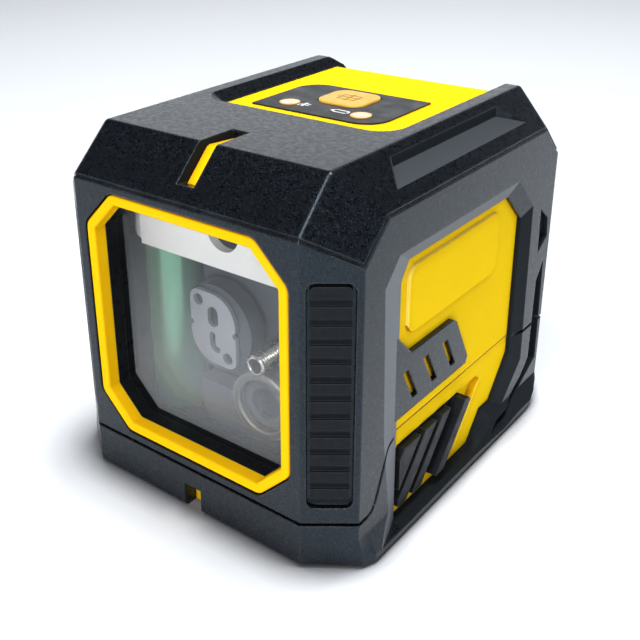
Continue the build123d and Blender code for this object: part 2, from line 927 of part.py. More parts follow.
def build_window():
    """Bezel, inner frame and glass."""
    opening = window_face(-bezel_ring)
    bezel = plate_y(window_face(0), 0, bezel_depth) - plate_y(opening, -past, frame_depth)
    parts["window_bezel"] = fillet(bezel.faces().sort_by(Axis.Y)[0].edges(), bezel_edge)

    frame = plate_y(window_face(0), bezel_depth, inset)
    flange_rear = inset + frame_flange_thickness
    frame += plate_y(window_face(frame_flange), inset, flange_rear) & envelope(inset + flange_gap)
    frame += plate_y(window_face(frame_wall - bezel_ring), inset, frame_depth)
    frame -= plate_y(opening, 0, frame_depth)
    frame -= plate_y(window_face(frame_step - bezel_ring), frame_step_depth, frame_depth)
    frame -= plate_y(window_face(glass_overlap + glass_gap - bezel_ring), glass_setback, frame_depth)
    parts["window_frame"] = frame

    pane = window_face(glass_overlap - bezel_ring)
    parts["window_glass"] = plate_y(pane, glass_setback, glass_setback + glass_thickness)


# Grip strips

def build_grips():
    """Ribbed strips in the two front corners."""
    width = grip_recess_width - 2 * grip_margin
    bottom = grip_recess_bottom + grip_margin
    tall = grip_recess_top - grip_recess_bottom - 2 * grip_margin
    corner = grip_recess_corner - grip_margin
    floor_plane = grip_plane().offset(-grip_recess_depth)
    face = floor_plane * Pos(0, bottom + tall / 2) * RectangleRounded(width, tall, corner)
    ribs = extrude(face, amount=grip_base + grip_rib_rise)
    pitch = tall / grip_ribs
    rib_top = grip_base + grip_rib_rise
    for index in range(grip_ribs):
        foot_z = bottom + pitch * index
        groove = outline([
            (foot_z, grip_base),
            (foot_z + grip_rib_gap, grip_base),
            (foot_z + grip_rib_gap + grip_rib_slope, rib_top),
            (foot_z + grip_rib_gap + grip_rib_slope, rib_top + past),
            (foot_z, rib_top + past),
        ])
        ribs -= floor_plane * plate_x(groove, -width, width)
    parts["right_grip_strip"] = ribs
    parts["left_grip_strip"] = mirrored(ribs)


# Keypad and boards

def button_face(margin):
    """Outline of the button, moved outwards by a margin."""
    return RectangleRounded(button_width + 2 * margin, button_length + 2 * margin, button_corner + margin)


def build_keypad():
    """Label, button and lamps on the top plate."""
    label = Rectangle(2 * label_half_width, label_rear - label_front)
    rounded = [corner for corner in label.vertices() if corner.X * corner.Y < 0]
    label = Pos(0, (label_front + label_rear) / 2) * fillet(rounded, label_corner)
    label -= Pos(0, button_y) * button_face(button_gap)
    for x in (-lamp_x, lamp_x):
        label -= Pos(x, lamp_y) * Circle(lamp_radius + lamp_gap)
    label_top = keypad_top + label_thickness
    parts["keypad_label"] = plate_z(label, keypad_top, label_top)

    flange_top = ceiling - button_gap
    flange_bottom = flange_top - button_flange_thickness
    stem_bottom = board_top + switch_height + switch_nub + button_travel + switch_play
    cap = plate_z(button_face(0), flange_top, label_top + button_rise)
    cap = fillet(cap.faces().sort_by(Axis.Z)[-1].edges(), button_edge)
    cap += plate_z(button_face(button_flange), flange_bottom, flange_top)
    cap += rod_z(0, 0, button_stem_radius, stem_bottom, flange_bottom)
    parts["mode_button"] = Pos(0, button_y, 0) * cap

    for name, x in (("charge_indicator", -lamp_x), ("power_indicator", lamp_x)):
        lamp = rod_z(x, lamp_y, lamp_radius, keypad_top, label_top + lamp_rise)
        parts[name] = lamp + rod_z(x, lamp_y, lamp_pipe_radius, board_top + led_height + lamp_gap, keypad_top)


def build_control_board():
    """Control board under the keypad, with its switch, lights and screws."""
    board = block(-board_half_width, board_half_width, board_front, board_rear, board_bottom, board_top)
    for x, y in board_post_places():
        board -= rod_z(x, y, small_screw_radius + fastener_clearance, board_bottom - past, board_top + past)
    parts["control_board"] = board
    half = switch_size / 2
    switch_top = board_top + switch_height
    switch = block(-half, half, button_y - half, button_y + half, board_top, switch_top)
    parts["mode_switch"] = switch + rod_z(0, button_y, button_stem_radius, board_top, switch_top + switch_nub)
    leds = Part()
    half = led_size / 2
    for x in (-lamp_x, lamp_x):
        leds += block(x - half, x + half, lamp_y - half, lamp_y + half, board_top, board_top + led_height)
    parts["status_leds"] = leds
    parts["board_screws"] = small_screws(board_post_places(), board_bottom, board_thickness)


def small_screws(places, seat, clamped):
    """Small screws that go up through what they clamp into ceiling posts, with their heads under the seat."""
    screws = Part()
    for x, y in places:
        screws += rod_z(x, y, small_screw_head_radius, seat - small_screw_head, seat)
        screws += rod_z(x, y, small_screw_radius, seat, seat + clamped + small_screw_grip)
    return screws


# Charging port

def build_port():
    """Charging board, socket and rubber cover at the rear."""
    rear = depth - inset
    parts["charging_board"] = block(-charger_half_width, charger_half_width, rear - charger_length, rear,
                                    charger_bottom, charger_bottom + board_thickness)
    shell = plate_y(socket_face(0), rear - socket_length, rear + wall)
    hollow = plate_y(socket_face(-socket_wall), rear - socket_length + socket_wall, rear + wall)
    tongue = Pos(0, port_z) * Rectangle(socket_width - socket_height, 2 * socket_wall)
    parts["usb_socket"] = shell - hollow + plate_y(tongue, rear - socket_length, rear)

    flap = plate_y(cover_face(0), depth - cover_thickness, depth)
    flap = split(flap, bisect_by=Plane.XY.offset(cover_hinge_z), keep=Keep.TOP)
    round_edge = cover_thickness / 2
    hinge = rod_x(depth - round_edge, cover_hinge_z, round_edge, -cover_width / 2, cover_width / 2)
    parts["port_cover"] = flap + hinge


# Gimbal

def build_bracket():
    """White bracket with its front bar, cell cups and bearing arms."""
    half = inner_x - bracket_side_gap
    bracket = block(-half, half, bracket_front, pivot_y + bracket_tail,
                    bracket_plate_bottom, bracket_plate_top)
    opening = bracket_opening_half_width
    bracket -= block(-opening, opening, bracket_front + bracket_opening_setback, depth,
                     bracket_plate_bottom - past, bracket_plate_top + past)
    bracket += block(-cell_x, cell_x, bracket_front, bracket_front + bracket_bar,
                     bracket_plate_bottom - bracket_bar_drop, bracket_plate_bottom)
    cup = rod_z(cell_x, cell_y, cup_radius + cup_wall, cell_top - cup_grip, bracket_plate_bottom)
    arm = block(arm_inner, arm_inner + arm_thickness, pivot_y - arm_half_length, pivot_y + arm_half_length,
                bracket_plate_bottom - arm_drop, bracket_plate_bottom)
    bracket += both_sides(cup + arm)
    contact_top = cell_top + cell_nib + contact_thickness
    bracket -= both_sides(rod_z(cell_x, cell_y, cup_radius, floor_top, contact_top))
    bracket -= rod_y(0, bracket_plate_bottom - bracket_hole_drop, bracket_hole_radius, 0,
                     bracket_front + bracket_bar + past)
    seat = pitch_bearing_radius + seat_clearance
    bracket -= both_sides(rod_x(pivot_y, pivot_z, seat, arm_inner - past, arm_inner + arm_thickness + past))
    for x, y in bracket_post_places():
        bracket -= rod_z(x, y, small_screw_radius + fastener_clearance, bracket_plate_bottom - past,
                         bracket_plate_top + past)
    parts["gimbal_bracket"] = bracket
    parts["bracket_screws"] = small_screws(bracket_post_places(), bracket_plate_bottom, bracket_plate)


def build_gimbal():
    """Ring, pins and bearings of the two crossed axes."""
    bore = pin_radius + bearing_clearance
    arm_outer = arm_inner + arm_thickness
    bearing = rod_x(pivot_y, pivot_z, pitch_bearing_radius, arm_inner, arm_outer)
    bearing -= rod_x(pivot_y, pivot_z, bore, 0, half_width)
    parts["pitch_bearings"] = both_sides(bearing)
    parts["pitch_pins"] = both_sides(rod_x(pivot_y, pivot_z, pin_radius, ring_outer - pin_sink, arm_outer))

    low = pivot_z - ring_height / 2
    high = pivot_z + ring_height / 2
    ring = rod_z(0, pivot_y, ring_outer, low, high)
    ring -= rod_z(0, pivot_y, ring_outer - ring_wall, low - past, high + past)
    hole = pin_radius + seat_clearance
    ring -= both_sides(rod_x(pivot_y, pivot_z, hole, ring_outer - pin_sink, ring_outer + past))
    ring -= rod_y(0, pivot_z, hole, pivot_y - ring_outer - past, pivot_y + ring_outer + past)
    parts["gimbal_ring"] = ring

    middle_plane = Plane.XZ.offset(-pivot_y)
    inner_end = pivot_y + head_half_length - roll_bearing_length
    race = rod_y(0, pivot_z, roll_bearing_radius, inner_end, pivot_y + head_half_length)
    race -= rod_y(0, pivot_z, bore, 0, depth)
    parts["roll_bearings"] = race + mirror(race, about=middle_plane)
    pin = rod_y(0, pivot_z, pin_radius, inner_end, pivot_y + ring_outer - pin_end_inset)
    parts["roll_pins"] = pin + mirror(pin, about=middle_plane)


# Pendulum

def build_pendulum():
    """Pendulum body, hung in the ring, with the bores for its line modules."""
    taper = bob_taper / (bob_top - bob_bottom)
    skirt_bottom = bob_bottom - skirt_drop
    skirt_half = bob_bottom_half_width - taper * skirt_drop
    bob_face = outline([
        (-bob_top_half_width, bob_top),
        (bob_top_half_width, bob_top),
        (bob_bottom_half_width, bob_bottom),
        (-bob_bottom_half_width, bob_bottom),
    ])
    skirt_face = outline([
        (-bob_bottom_half_width, bob_bottom),
        (bob_bottom_half_width, bob_bottom),
        (skirt_half, skirt_bottom),
        (-skirt_half, skirt_bottom),
    ])
    skirt_face = fillet(skirt_face.vertices().sort_by(Axis.Y)[:2], skirt_corner)
    bob = plate_y(bob_face, bob_front, pivot_y + bob_half_length)
    relief = plate_y(bob_face, bob_front - past, bob_front + boss_rise)
    relief -= rod_y(*vertical_place, boss_radius, bob_front - past, bob_front + boss_rise)
    relief -= rod_y(*horizontal_place, lens_ring_radius, bob_front - past, bob_front + boss_rise)
    relief &= block(-half_width, half_width, 0, depth, horizontal_module_z, height)
    bob -= relief
    bob += plate_y(skirt_face, bob_front, bob_front + skirt_thickness)
    head_bottom = pivot_z - head_drop
    bob += block(-head_half_width, head_half_width, pivot_y - neck_half_length, pivot_y + neck_half_length,
                 bob_top, head_bottom)
    bob += block(-head_half_width, head_half_width, pivot_y - head_half_length, pivot_y + head_half_length,
                 head_bottom, pivot_z + head_rise)
    seat = roll_bearing_radius + seat_clearance
    inner_end = head_half_length - roll_bearing_length
    bob -= rod_y(0, pivot_z, seat, pivot_y - head_half_length - past, pivot_y - inner_end)
    bob -= rod_y(0, pivot_z, seat, pivot_y + inner_end, pivot_y + head_half_length + past)
    for x, z, radius, length in (vertical_module, horizontal_module):
        bob -= rod_y(x, z, radius + seat_clearance, bob_front - past, bob_front + length)
    bob -= rod_y(screw_x, screw_z, screw_radius + seat_clearance, bob_front - past, bob_front + screw_sink)
    parts["pendulum_body"] = bob

    weight = rod_z(0, pivot_y, weight_radius, floor_top, bob_bottom)
    parts["balance_weight"] = weight & (Pos(0, pivot_y, pivot_z) * Sphere(swing_radius))

    stud = rod_y(screw_x, screw_z, screw_radius, bob_front - screw_proud, bob_front + screw_sink)
    stud -= rod_y(screw_x, screw_z, screw_socket_radius, 0, bob_front - screw_proud + screw_socket_depth)
    parts["balance_screw"] = stud


def line_module(x, z, radius, length, turn):
    """A line module's barrel and its rod lens, which spreads the beam across the rod."""
    barrel = rod_y(x, z, radius, bob_front, bob_front + length)
    slot = Pos(x, z) * Rot(0, 0, turn) * Rectangle(2 * lens_radius, lens_length)
    barrel -= plate_y(slot, bob_front - past, bob_front + lens_sink + lens_radius)
    rod = Rot(0, turn, 0) * Cylinder(lens_radius - seat_clearance, lens_length - 2 * seat_clearance)
    return barrel, Pos(x, bob_front + lens_sink, z) * rod


def build_line_modules():
    """The two line modules, with the plate and the ring in front of them."""
    parts["vertical_line_module"], parts["vertical_line_lens"] = line_module(*vertical_module, 90)
    parts["horizontal_line_module"], parts["horizontal_line_lens"] = line_module(*horizontal_module, 0)
    parts["module_retainer"] = retainer()
    ring = rod_y(*horizontal_place, lens_ring_radius, bob_front - lens_ring_rise, bob_front)
    parts["lens_ring"] = ring - rod_y(*horizontal_place, lens_ring_opening, 0, bob_front + past)


def retainer():
    """The stamped plate over the vertical line module, with its spring slots."""
    face = Rectangle(retainer_width, retainer_height)
    round_corners = [corner for corner in face.vertices() if corner.X * corner.Y > 0]
    face = fillet(round_corners, retainer_round)
    ear_x = retainer_width / 2 - retainer_ear
    ear_y = retainer_height / 2 - retainer_ear
    corners = face.vertices().sort_by(lambda corner: -abs(corner.X) - abs(corner.Y))
    face = fillet(corners[:2], retainer_ear)
    face -= Pos(-ear_x, ear_y) * Circle(retainer_hole_radius)
    face -= Pos(ear_x, -ear_y) * Circle(retainer_hole_radius)
    for hand in (-1, 1):
        face -= Pos(hand * retainer_width / 2, 0) * Circle(retainer_notch)
    stroke = SlotOverall(retainer_slot_length, retainer_slot, rotation=90)
    hook = SlotOverall(retainer_slot_arm, retainer_slot)
    stroke_y = retainer_slot_length / 2 + retainer_slot / 2
    hook_x = retainer_slot_arm / 2 - retainer_slot / 2
    for hook_y in (retainer_slot, retainer_slot_length, -retainer_slot_length):
        face -= Pos(hook_x, hook_y) * hook
    face -= Pos(0, stroke_y) * stroke
    face -= Pos(0, -stroke_y) * stroke
    return plate_y(Pos(*vertical_place) * face, bob_front - retainer_thickness, bob_front)


# Cells

def build_cells():
    """Two upright cells and their contacts."""
    can = rod_z(cell_x, cell_y, cell_radius, cell_bottom, cell_top)
    can = chamfer(can.edges().filter_by(GeomType.CIRCLE), cell_crimp)
    nib_top = cell_top + cell_nib
    cell = can + rod_z(cell_x, cell_y, cell_nib_radius, cell_top, nib_top)
    parts["right_cell"] = cell
    parts["left_cell"] = mirrored(cell)
    disc = rod_z(cell_x, cell_y, contact_radius, nib_top, nib_top + contact_thickness)
    parts["upper_contacts"] = both_sides(disc)
    tab = rod_z(cell_x, cell_y, contact_radius, floor_top, floor_top + contact_thickness)
    dome = Cone(contact_radius, cell_nib_radius, contact_dome, align=(Align.CENTER, Align.CENTER, Align.MIN))
    parts["lower_contacts"] = both_sides(tab + Pos(cell_x, cell_y, floor_top + contact_thickness) * dome)


# Lock

def build_slider():
    """Thumb slider with its slanted ribs, its rear ridge and the stem through the wall."""
    base = outline([
        (slider_front, slider_bottom),
        (slider_front, slider_top - slider_corner),
        (slider_front + slider_corner, slider_top),
        (slider_top_rear - slider_corner, slider_top),
        (slider_top_rear, slider_top - slider_corner),
        (slider_top_rear - slider_lean * (slider_drop - slider_corner), slider_bottom),
    ])
    slider = plate_x(base, slider_back, slider_face)
    ribs = [(start, length, slider_rib) for start, length in slider_ribs]
    ribs.append((slider_top_rear - slider_ridge_length, slider_ridge_length, slider_ridge))
    shift = slider_lean * slider_drop
    for start, length, rise in ribs:
        rib = outline([
            (start, slider_top),
            (start + length, slider_top),
            (start + length - shift, slider_bottom),
            (start - shift, slider_bottom),
        ])
        slider += plate_x(base & rib, slider_face, slider_face + rise)
    slider += block(stem_end, slider_back, bar_front, bar_rear,
                    stem_z - stem_height / 2, stem_z + stem_height / 2)
    parts["lock_slider"] = slider


def ramp_height(y):
    """Height of the ramp's top at a place along it, with the lock on."""
    return ramp_top + slope * (y - plunger_y)


def build_lock():
    """Bar with its ramp, plunger, pad and the guide that keeps the plunger upright."""
    bar = block(ramp_half_width, stem_end, bar_front, bar_rear, bar_bottom, bar_bottom + bar_thickness)
    bar += block(stem_end - bar_upright, stem_end, bar_front, bar_rear, bar_bottom, stem_z + stem_height / 2)
    ramp = outline([
        (ramp_front, bar_bottom),
        (ramp_rear, bar_bottom),
        (ramp_rear, ramp_height(ramp_rear)),
        (ramp_front, ramp_height(ramp_front)),
    ])
    parts["lock_bar"] = bar + plate_x(ramp, -ramp_half_width, ramp_half_width)

    plunger = rod_z(0, plunger_y, plunger_radius, bar_bottom, pad_bottom)
    under = outline([
        (ramp_front, 0),
        (ramp_rear, 0),
        (ramp_rear, ramp_height(ramp_rear) + lock_gap),
        (ramp_front, ramp_height(ramp_front) + lock_gap),
    ])
    parts["lock_plunger"] = plunger - plate_x(under, -ramp_half_width, ramp_half_width)
    pad = rod_z(0, plunger_y, pad_radius, pad_bottom, pivot_z)
    parts["lock_pad"] = pad - Pos(0, pivot_y, pivot_z) * Sphere(swing_radius + lock_gap)

    low = plunger_y - guide_half_length
    high = plunger_y + guide_half_length
    guide = block(-guide_outer, guide_overhang, low, high, guide_bottom, guide_top)
    guide += block(-guide_outer, guide_leg - guide_outer, low, high, floor_top, guide_top)
    parts["plunger_guide"] = guide - rod_z(0, plunger_y, plunger_radius + guide_clearance, 0, height)


# Damper, tripod socket and screws

def build_base_fittings():
    """Magnet, tripod insert and the screws that close the housing."""
    magnet_bottom = floor_top + magnet_post
    magnet_top = magnet_bottom + magnet_thickness
    parts["damping_magnet"] = rod_z(magnet_x, magnet_y, magnet_radius, magnet_bottom, magnet_top)
    insert = rod_z(0, insert_y, insert_radius, 0, insert_length)
    parts["tripod_insert"] = insert - rod_z(0, insert_y, insert_bore, -past, insert_bore_depth)
    screws = Part()
    head_top = post_screw_head_sink + post_screw_head
    for x, y in post_places():
        screws += rod_z(x, y, post_screw_head_radius, post_screw_head_sink, head_top)
        screws += rod_z(x, y, post_screw_radius, head_top, side_parting + post_screw_grip)
    parts["housing_screws"] = screws


def main():
    """Builds every piece and writes one file for each, with the origin under the middle of the body."""
    build_armour()
    build_upper_housing()
    build_lower_housing()
    build_window()
    build_grips()
    build_keypad()
    build_control_board()
    build_port()
    build_bracket()
    build_gimbal()
    build_pendulum()
    build_line_modules()
    build_cells()
    build_slider()
    build_lock()
    build_base_fittings()
    os.makedirs("parts", exist_ok=True)
    for name, piece in parts.items():
        export_step(Pos(0, -depth / 2, 0) * piece, f"parts/{name}.step")


main()
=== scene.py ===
"""Looks of the cross line laser level: finishes, printed symbols, threads, floor, light and camera."""
import math

import bmesh
import bpy
from mathutils import Matrix, Vector


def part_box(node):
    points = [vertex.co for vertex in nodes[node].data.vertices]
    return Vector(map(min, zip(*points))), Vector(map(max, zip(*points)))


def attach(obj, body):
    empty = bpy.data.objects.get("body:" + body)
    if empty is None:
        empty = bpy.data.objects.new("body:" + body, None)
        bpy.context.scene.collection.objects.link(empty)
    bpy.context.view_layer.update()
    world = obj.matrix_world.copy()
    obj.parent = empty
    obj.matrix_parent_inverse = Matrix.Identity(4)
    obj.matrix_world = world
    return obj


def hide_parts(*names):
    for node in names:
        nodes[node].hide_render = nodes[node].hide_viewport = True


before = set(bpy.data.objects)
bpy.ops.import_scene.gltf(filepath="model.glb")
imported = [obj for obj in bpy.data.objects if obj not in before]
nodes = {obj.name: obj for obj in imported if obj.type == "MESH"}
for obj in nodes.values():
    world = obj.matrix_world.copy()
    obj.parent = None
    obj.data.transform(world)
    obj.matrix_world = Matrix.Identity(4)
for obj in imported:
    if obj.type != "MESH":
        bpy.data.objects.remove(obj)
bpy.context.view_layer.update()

# A millimetre in metres, the yellow housing's wall, and half its width across the side panels
MM = 0.001
WALL = 2.0 * MM
panel_half_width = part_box("lower_housing")[1].x

# Where most values of a cloudy noise lie
NOISE_RANGE = (0.3, 0.7)

# How well the rounded direction agrees with the true one, on a flat and at an edge
ON_FLAT, AT_EDGE = 0.999, 0.93

# Rays that feel for edges and for corners
EDGE_RAYS, CORNER_RAYS = 6, 8

# The colour sockets of a mix node
MIX_FIRST, MIX_SECOND, MIX_RESULT = 6, 7, 2

# Cool tint in the gloss of the black mouldings, and how far their edges are lightened as rubbed wear and
# a painted highlight
COOL_TINT = (0.66, 0.84, 1.0, 1.0)
EDGE_RUB_AND_HIGHLIGHT = 0.6


class Finish:
    """A procedural material, with short calls for the nodes that most surfaces need."""

    def __init__(self, name, **sockets):
        self.material = bpy.data.materials.new(name)
        self.material.use_nodes = True
        self.tree = self.material.node_tree
        self.shader = self.tree.nodes["Principled BSDF"]
        for socket, value in sockets.items():
            self.shader.inputs[socket.replace("_", " ")].default_value = value
        self.place = self.node("ShaderNodeTexCoord").outputs["Object"]
        self.normal = None

    def node(self, kind, *links, **values):
        """A node whose inputs are fed in order or by name; lower-case names are its properties."""
        node = self.tree.nodes.new(kind)
        for name, value in values.items():
            if name[0].islower():
                setattr(node, name, value)
        for index, link in enumerate(links):
            self.feed(link, node.inputs[index])
        for name, value in values.items():
            if not name[0].islower():
                self.feed(value, node.inputs[name.replace("_", " ")])
        return node

    def feed(self, value, socket):
        """Links an output to a socket, or sets the socket's value."""
        if isinstance(value, bpy.types.NodeSocket):
            self.tree.links.new(value, socket)
        else:
            socket.default_value = value

    def stretched(self, scale):
        """Coordinates with a scale of their own along each axis."""
        return self.node("ShaderNodeMapping", self.place, Scale=scale).outputs[0]

    def noise(self, scale, detail, place=None):
        """Cloudy noise, with features of about one over the scale, in metres."""
        place = place or self.place
        return self.node("ShaderNodeTexNoise", place, Scale=scale, Detail=detail).outputs["Fac"]

    def cells(self, scale):
        """Distance to the nearest of some scattered points."""
        return self.node("ShaderNodeTexVoronoi", self.place, Scale=scale).outputs["Distance"]

    def axis(self, name):
        """One coordinate of the place."""
        return self.node("ShaderNodeSeparateXYZ", self.place).outputs[name]

    def direction(self, kind="True Normal"):
        """The surface's direction: its own, or the smoothed one."""
        return self.node("ShaderNodeNewGeometry").outputs[kind]

    def facing(self, name):
        """One component of the surface's own direction."""
        return self.node("ShaderNodeSeparateXYZ", self.direction()).outputs[name]

    def dot(self, first, second):
        """How far one vector runs along another."""
        return self.node("ShaderNodeVectorMath", first, second, operation="DOT_PRODUCT").outputs["Value"]

    def math(self, operation, *values):
        """A sum on one or two values."""
        node = self.node("ShaderNodeMath", operation=operation)
        for index, value in enumerate(values):
            self.feed(value, node.inputs[index])
        return node.outputs[0]

    def product(self, first, *others):
        """Values multiplied together."""
        for value in others:
            first = self.math("MULTIPLY", first, value)
        return first

    def size(self, value):
        """A value without its sign."""
        return self.math("ABSOLUTE", value)

    def away(self, name, centre=0.0):
        """Distance along one axis from a centre."""
        return self.size(self.math("SUBTRACT", self.axis(name), centre))

    def where(self, *tests):
        """1 where each test of a value against a limit holds, and 0 elsewhere."""
        return self.product(*[self.math(operation, value, limit) for value, operation, limit in tests])

    def remap(self, value, low, high, start=0.0, end=1.0):
        """A value taken from one range to another, and held at its ends."""
        ends = {"From_Min": low, "From_Max": high, "To_Min": start, "To_Max": end}
        return self.node("ShaderNodeMapRange", Value=value, **ends).outputs[0]

    def part_way(self, factor, first, second):
        """Two values, mixed by a factor."""
        return self.math("ADD", first, self.product(factor, self.math("SUBTRACT", second, first)))

    def mix(self, factor, first, second):
        """Two colours, mixed by a factor."""
        node = self.node("ShaderNodeMix", data_type="RGBA")
        self.feed(factor, node.inputs[0])
        for index, colour in ((MIX_FIRST, first), (MIX_SECOND, second)):
            self.feed((*colour, 1) if isinstance(colour, tuple) else colour, node.inputs[index])
        return node.outputs[MIX_RESULT]

    def mottled(self, scale, detail, dark, light):
        """A colour that drifts between two."""
        return self.mix(self.noise(scale, detail), dark, light)

    def colour(self, value):
        """Sets the shader's colour."""
        self.feed(value, self.shader.inputs["Base Color"])

    def rough(self, value):
        """Sets the shader's roughness."""
        self.feed(value, self.shader.inputs["Roughness"])

    def gloss(self, scale, detail, smooth, dull):
        """Lets the roughness drift between two values."""
        self.rough(self.remap(self.noise(scale, detail), *NOISE_RANGE, smooth, dull))

    def rounded(self, radius):
        """Lets edges catch the light as if rounded; returns how much of an edge a place is."""
        soft = self.node("ShaderNodeBevel", samples=EDGE_RAYS, Radius=radius).outputs[0]
        self.set_normal(soft)
        return self.remap(self.dot(soft, self.direction("Normal")), ON_FLAT, AT_EDGE)

    def shade_depth(self, reach, lean=None, open_sky=0.55, hidden=0.15):
        """How deep in a corner or gap a place is, from 0 to 1, looking square out or to one side; it
        sets where shade is painted into colours.
        """
        sky = self.node("ShaderNodeAmbientOcclusion", samples=CORNER_RAYS, Distance=reach)
        if lean is not None:
            square = self.direction("Normal")
            leaning = self.node("ShaderNodeVectorMath", square, lean, operation="ADD").outputs[0]
            aim = self.node("ShaderNodeVectorMath", leaning, operation="NORMALIZE").outputs[0]
            self.feed(aim, sky.inputs["Normal"])
        return self.remap(sky.outputs["AO"], open_sky, hidden)

    def bump(self, height, strength, depth):
        """Adds relief that follows a value."""
        node = self.node("ShaderNodeBump", Strength=strength, Distance=depth, Height=height)
        if self.normal is not None:
            self.feed(self.normal, node.inputs["Normal"])
        self.set_normal(node.outputs[0])

    def grain(self, scale, detail, strength, depth):
        """Adds relief that follows cloudy noise."""
        self.bump(self.noise(scale, detail), strength, depth)

    def set_normal(self, normal):
        """Sets the direction that the shader takes for the surface's."""
        self.normal = normal
        self.feed(normal, self.shader.inputs["Normal"])


# Moulded plastics and rubber

def armour():
    """Black spark-textured plastic: grains painted bright as glints, edges lightened as rubbed wear and
    a painted highlight, painted shade in corners, painted light and shade on some zones, and specks of
    dust.
    """
    f = Finish("armour_plastic", Specular_IOR_Level=0.37, Specular_Tint=COOL_TINT)
    polish = 0.1
    edge = f.rounded(0.6 * MM)
    shade_depth = f.shade_depth(2.5 * MM)
    sparks_and_glints = f.noise(4200, 1)
    coarse = f.noise(900, 2)
    # painted glints: the spark texture's grains are painted bright into the colour
    shade = f.mix(f.remap(sparks_and_glints, 0.5, 0.72), (0.0008, 0.001, 0.0016), (0.02, 0.024, 0.031))
    # edges lightened in colour: partly rubbed wear, partly a painted highlight
    rubbed_and_highlit_edges = f.product(edge, f.remap(f.noise(260, 3), 0.35, 0.7, start=0.15, end=0.7))
    shade = f.mix(rubbed_and_highlit_edges, shade, (0.035, 0.037, 0.041))
    # painted shade: corners and gaps darkened to near black
    shade = f.mix(shade_depth, shade, (0.001, 0.001, 0.0012))
    skin = f.remap(coarse, *NOISE_RANGE, start=0.24, end=0.36)
    skin = f.math("SUBTRACT", skin, f.product(edge, polish))
    skin = f.math("SUBTRACT", skin, f.product(shade_depth, polish))
    # zones of painted light and shade
    for zone, tone, roughness in armour_light_and_shade_zones(f):
        shade = f.mix(zone, shade, tone)
        skin = f.part_way(zone, skin, roughness)
    specks = f.remap(f.cells(230), 0.035, 0.02)
    chosen = f.remap(f.noise(60, 1), 0.62, 0.66)
    level = f.remap(f.facing("Z"), 0.6, 0.8)
    f.colour(f.mix(f.product(specks, chosen, level), shade, (0.5, 0.5, 0.48)))
    f.rough(skin)
    f.bump(sparks_and_glints, strength=0.2, depth=0.07 * MM)
    f.bump(coarse, strength=0.04, depth=0.12 * MM)
    return f


def armour_light_and_shade_zones(f):
    """Zones of the armour with painted light and shade, each with its tone and roughness: recess walls,
    sill and rear edge painted dark as shade, handle floor, front edge and head edge painted lighter as
    light and reflection.
    """
    cover_foot, handle_floor_top = 75 * MM, 79 * MM
    sill_top, sill_front = 16 * MM, -27 * MM
    panel_head_foot = 40 * MM
    panel_edge = panel_half_width - 3 * MM
    square_on, turned = 0.9, 0.12
    tips_up, not_under, tips_down, not_to_front = 0.25, -0.15, -0.2, -0.1

    up, along, across = f.facing("Z"), f.facing("Y"), f.size(f.facing("X"))
    height, depth = f.axis("Z"), f.axis("Y")
    in_cover = (height, "GREATER_THAN", cover_foot)
    by_panel = (f.away("X"), "GREATER_THAN", panel_edge)
    rear_half = (depth, "GREATER_THAN", 0.0)
    front_half = (depth, "LESS_THAN", 0.0)

    recess_walls = f.where(in_cover, (across, "GREATER_THAN", square_on))
    handle_floor = f.where(in_cover, (up, "GREATER_THAN", square_on),
                           (height, "LESS_THAN", handle_floor_top))
    sill = f.where(by_panel, (up, "GREATER_THAN", tips_up), (height, "LESS_THAN", sill_top),
                   (depth, "GREATER_THAN", sill_front))
    rear_edge = f.where(by_panel, rear_half, (along, "LESS_THAN", -turned),
                        (up, "GREATER_THAN", not_under))
    front_edge = f.where(by_panel, front_half, (along, "GREATER_THAN", turned))
    head_edge = f.where(by_panel, (up, "LESS_THAN", tips_down), (along, "GREATER_THAN", not_to_front),
                        (height, "GREATER_THAN", panel_head_foot))
    # near black tone of the painted shade
    dark = (0.001, 0.0011, 0.0014)
    return [
        (recess_walls, dark, 0.85),
        (handle_floor, (0.035, 0.038, 0.044), 0.5),
        (sill, dark, 0.95),
        (rear_edge, dark, 0.8),
        (front_edge, (0.12, 0.13, 0.145), 0.45),
        (head_edge, (0.085, 0.093, 0.105), 0.45),
    ]


def yellow(name, deep, light):
    """Smooth moulded yellow with smudged gloss, painted highlights on its edges and step walls, and
    painted shade in its corners and on the undersides of its steps; returns the finish and its colour.
    """
    f = Finish(name, Specular_IOR_Level=0.0, Coat_Weight=0.03, Coat_Roughness=0.25)
    pad_foot = panel_half_width - 0.1 * MM
    square_on, tips_down = 0.8, -0.2
    edge_highlight_share, corner_shade_share, step_light_share = 0.5, 0.75, 0.4

    edge = f.rounded(0.4 * MM)
    step = f.where((f.size(f.facing("X")), "LESS_THAN", square_on),
                   (f.away("X"), "GREATER_THAN", pad_foot))
    underside_shade = f.product(step, f.math("LESS_THAN", f.facing("Z"), tips_down))
    corner = f.shade_depth(2.2 * MM, lean=(0, -0.6, 0.9), open_sky=0.95, hidden=0.45)
    corner = f.product(corner, f.math("SUBTRACT", 1.0, step))

    tone = f.mottled(45, 3, deep, light)
    # painted highlight: edges lighter
    tone = f.mix(f.product(edge, edge_highlight_share), tone, (0.95, 0.72, 0.06))
    # painted shade: corners darkened, as if lit from up and in front
    tone = f.mix(f.product(corner, corner_shade_share), tone, (0.5, 0.2, 0.0))
    # painted light: step walls lighter
    tone = f.mix(f.product(step, step_light_share), tone, (0.98, 0.85, 0.3))
    # painted shade: undersides of the steps darker
    tone = f.mix(underside_shade, tone, (0.42, 0.18, 0.0))
    f.colour(tone)
    smudges = f.noise(90, 4)
    f.rough(f.remap(smudges, 0.35, 0.75, start=0.26, end=0.4))
    f.grain(420, 2, strength=0.06, depth=0.1 * MM)
    f.grain(3200, 1, strength=0.05, depth=0.03 * MM)
    return f, tone


def bezel_yellow():
    """The bezel's yellow, the same all through."""
    return yellow("yellow_bezel", deep=(0.88, 0.48, 0.003), light=(0.93, 0.53, 0.005))[0]


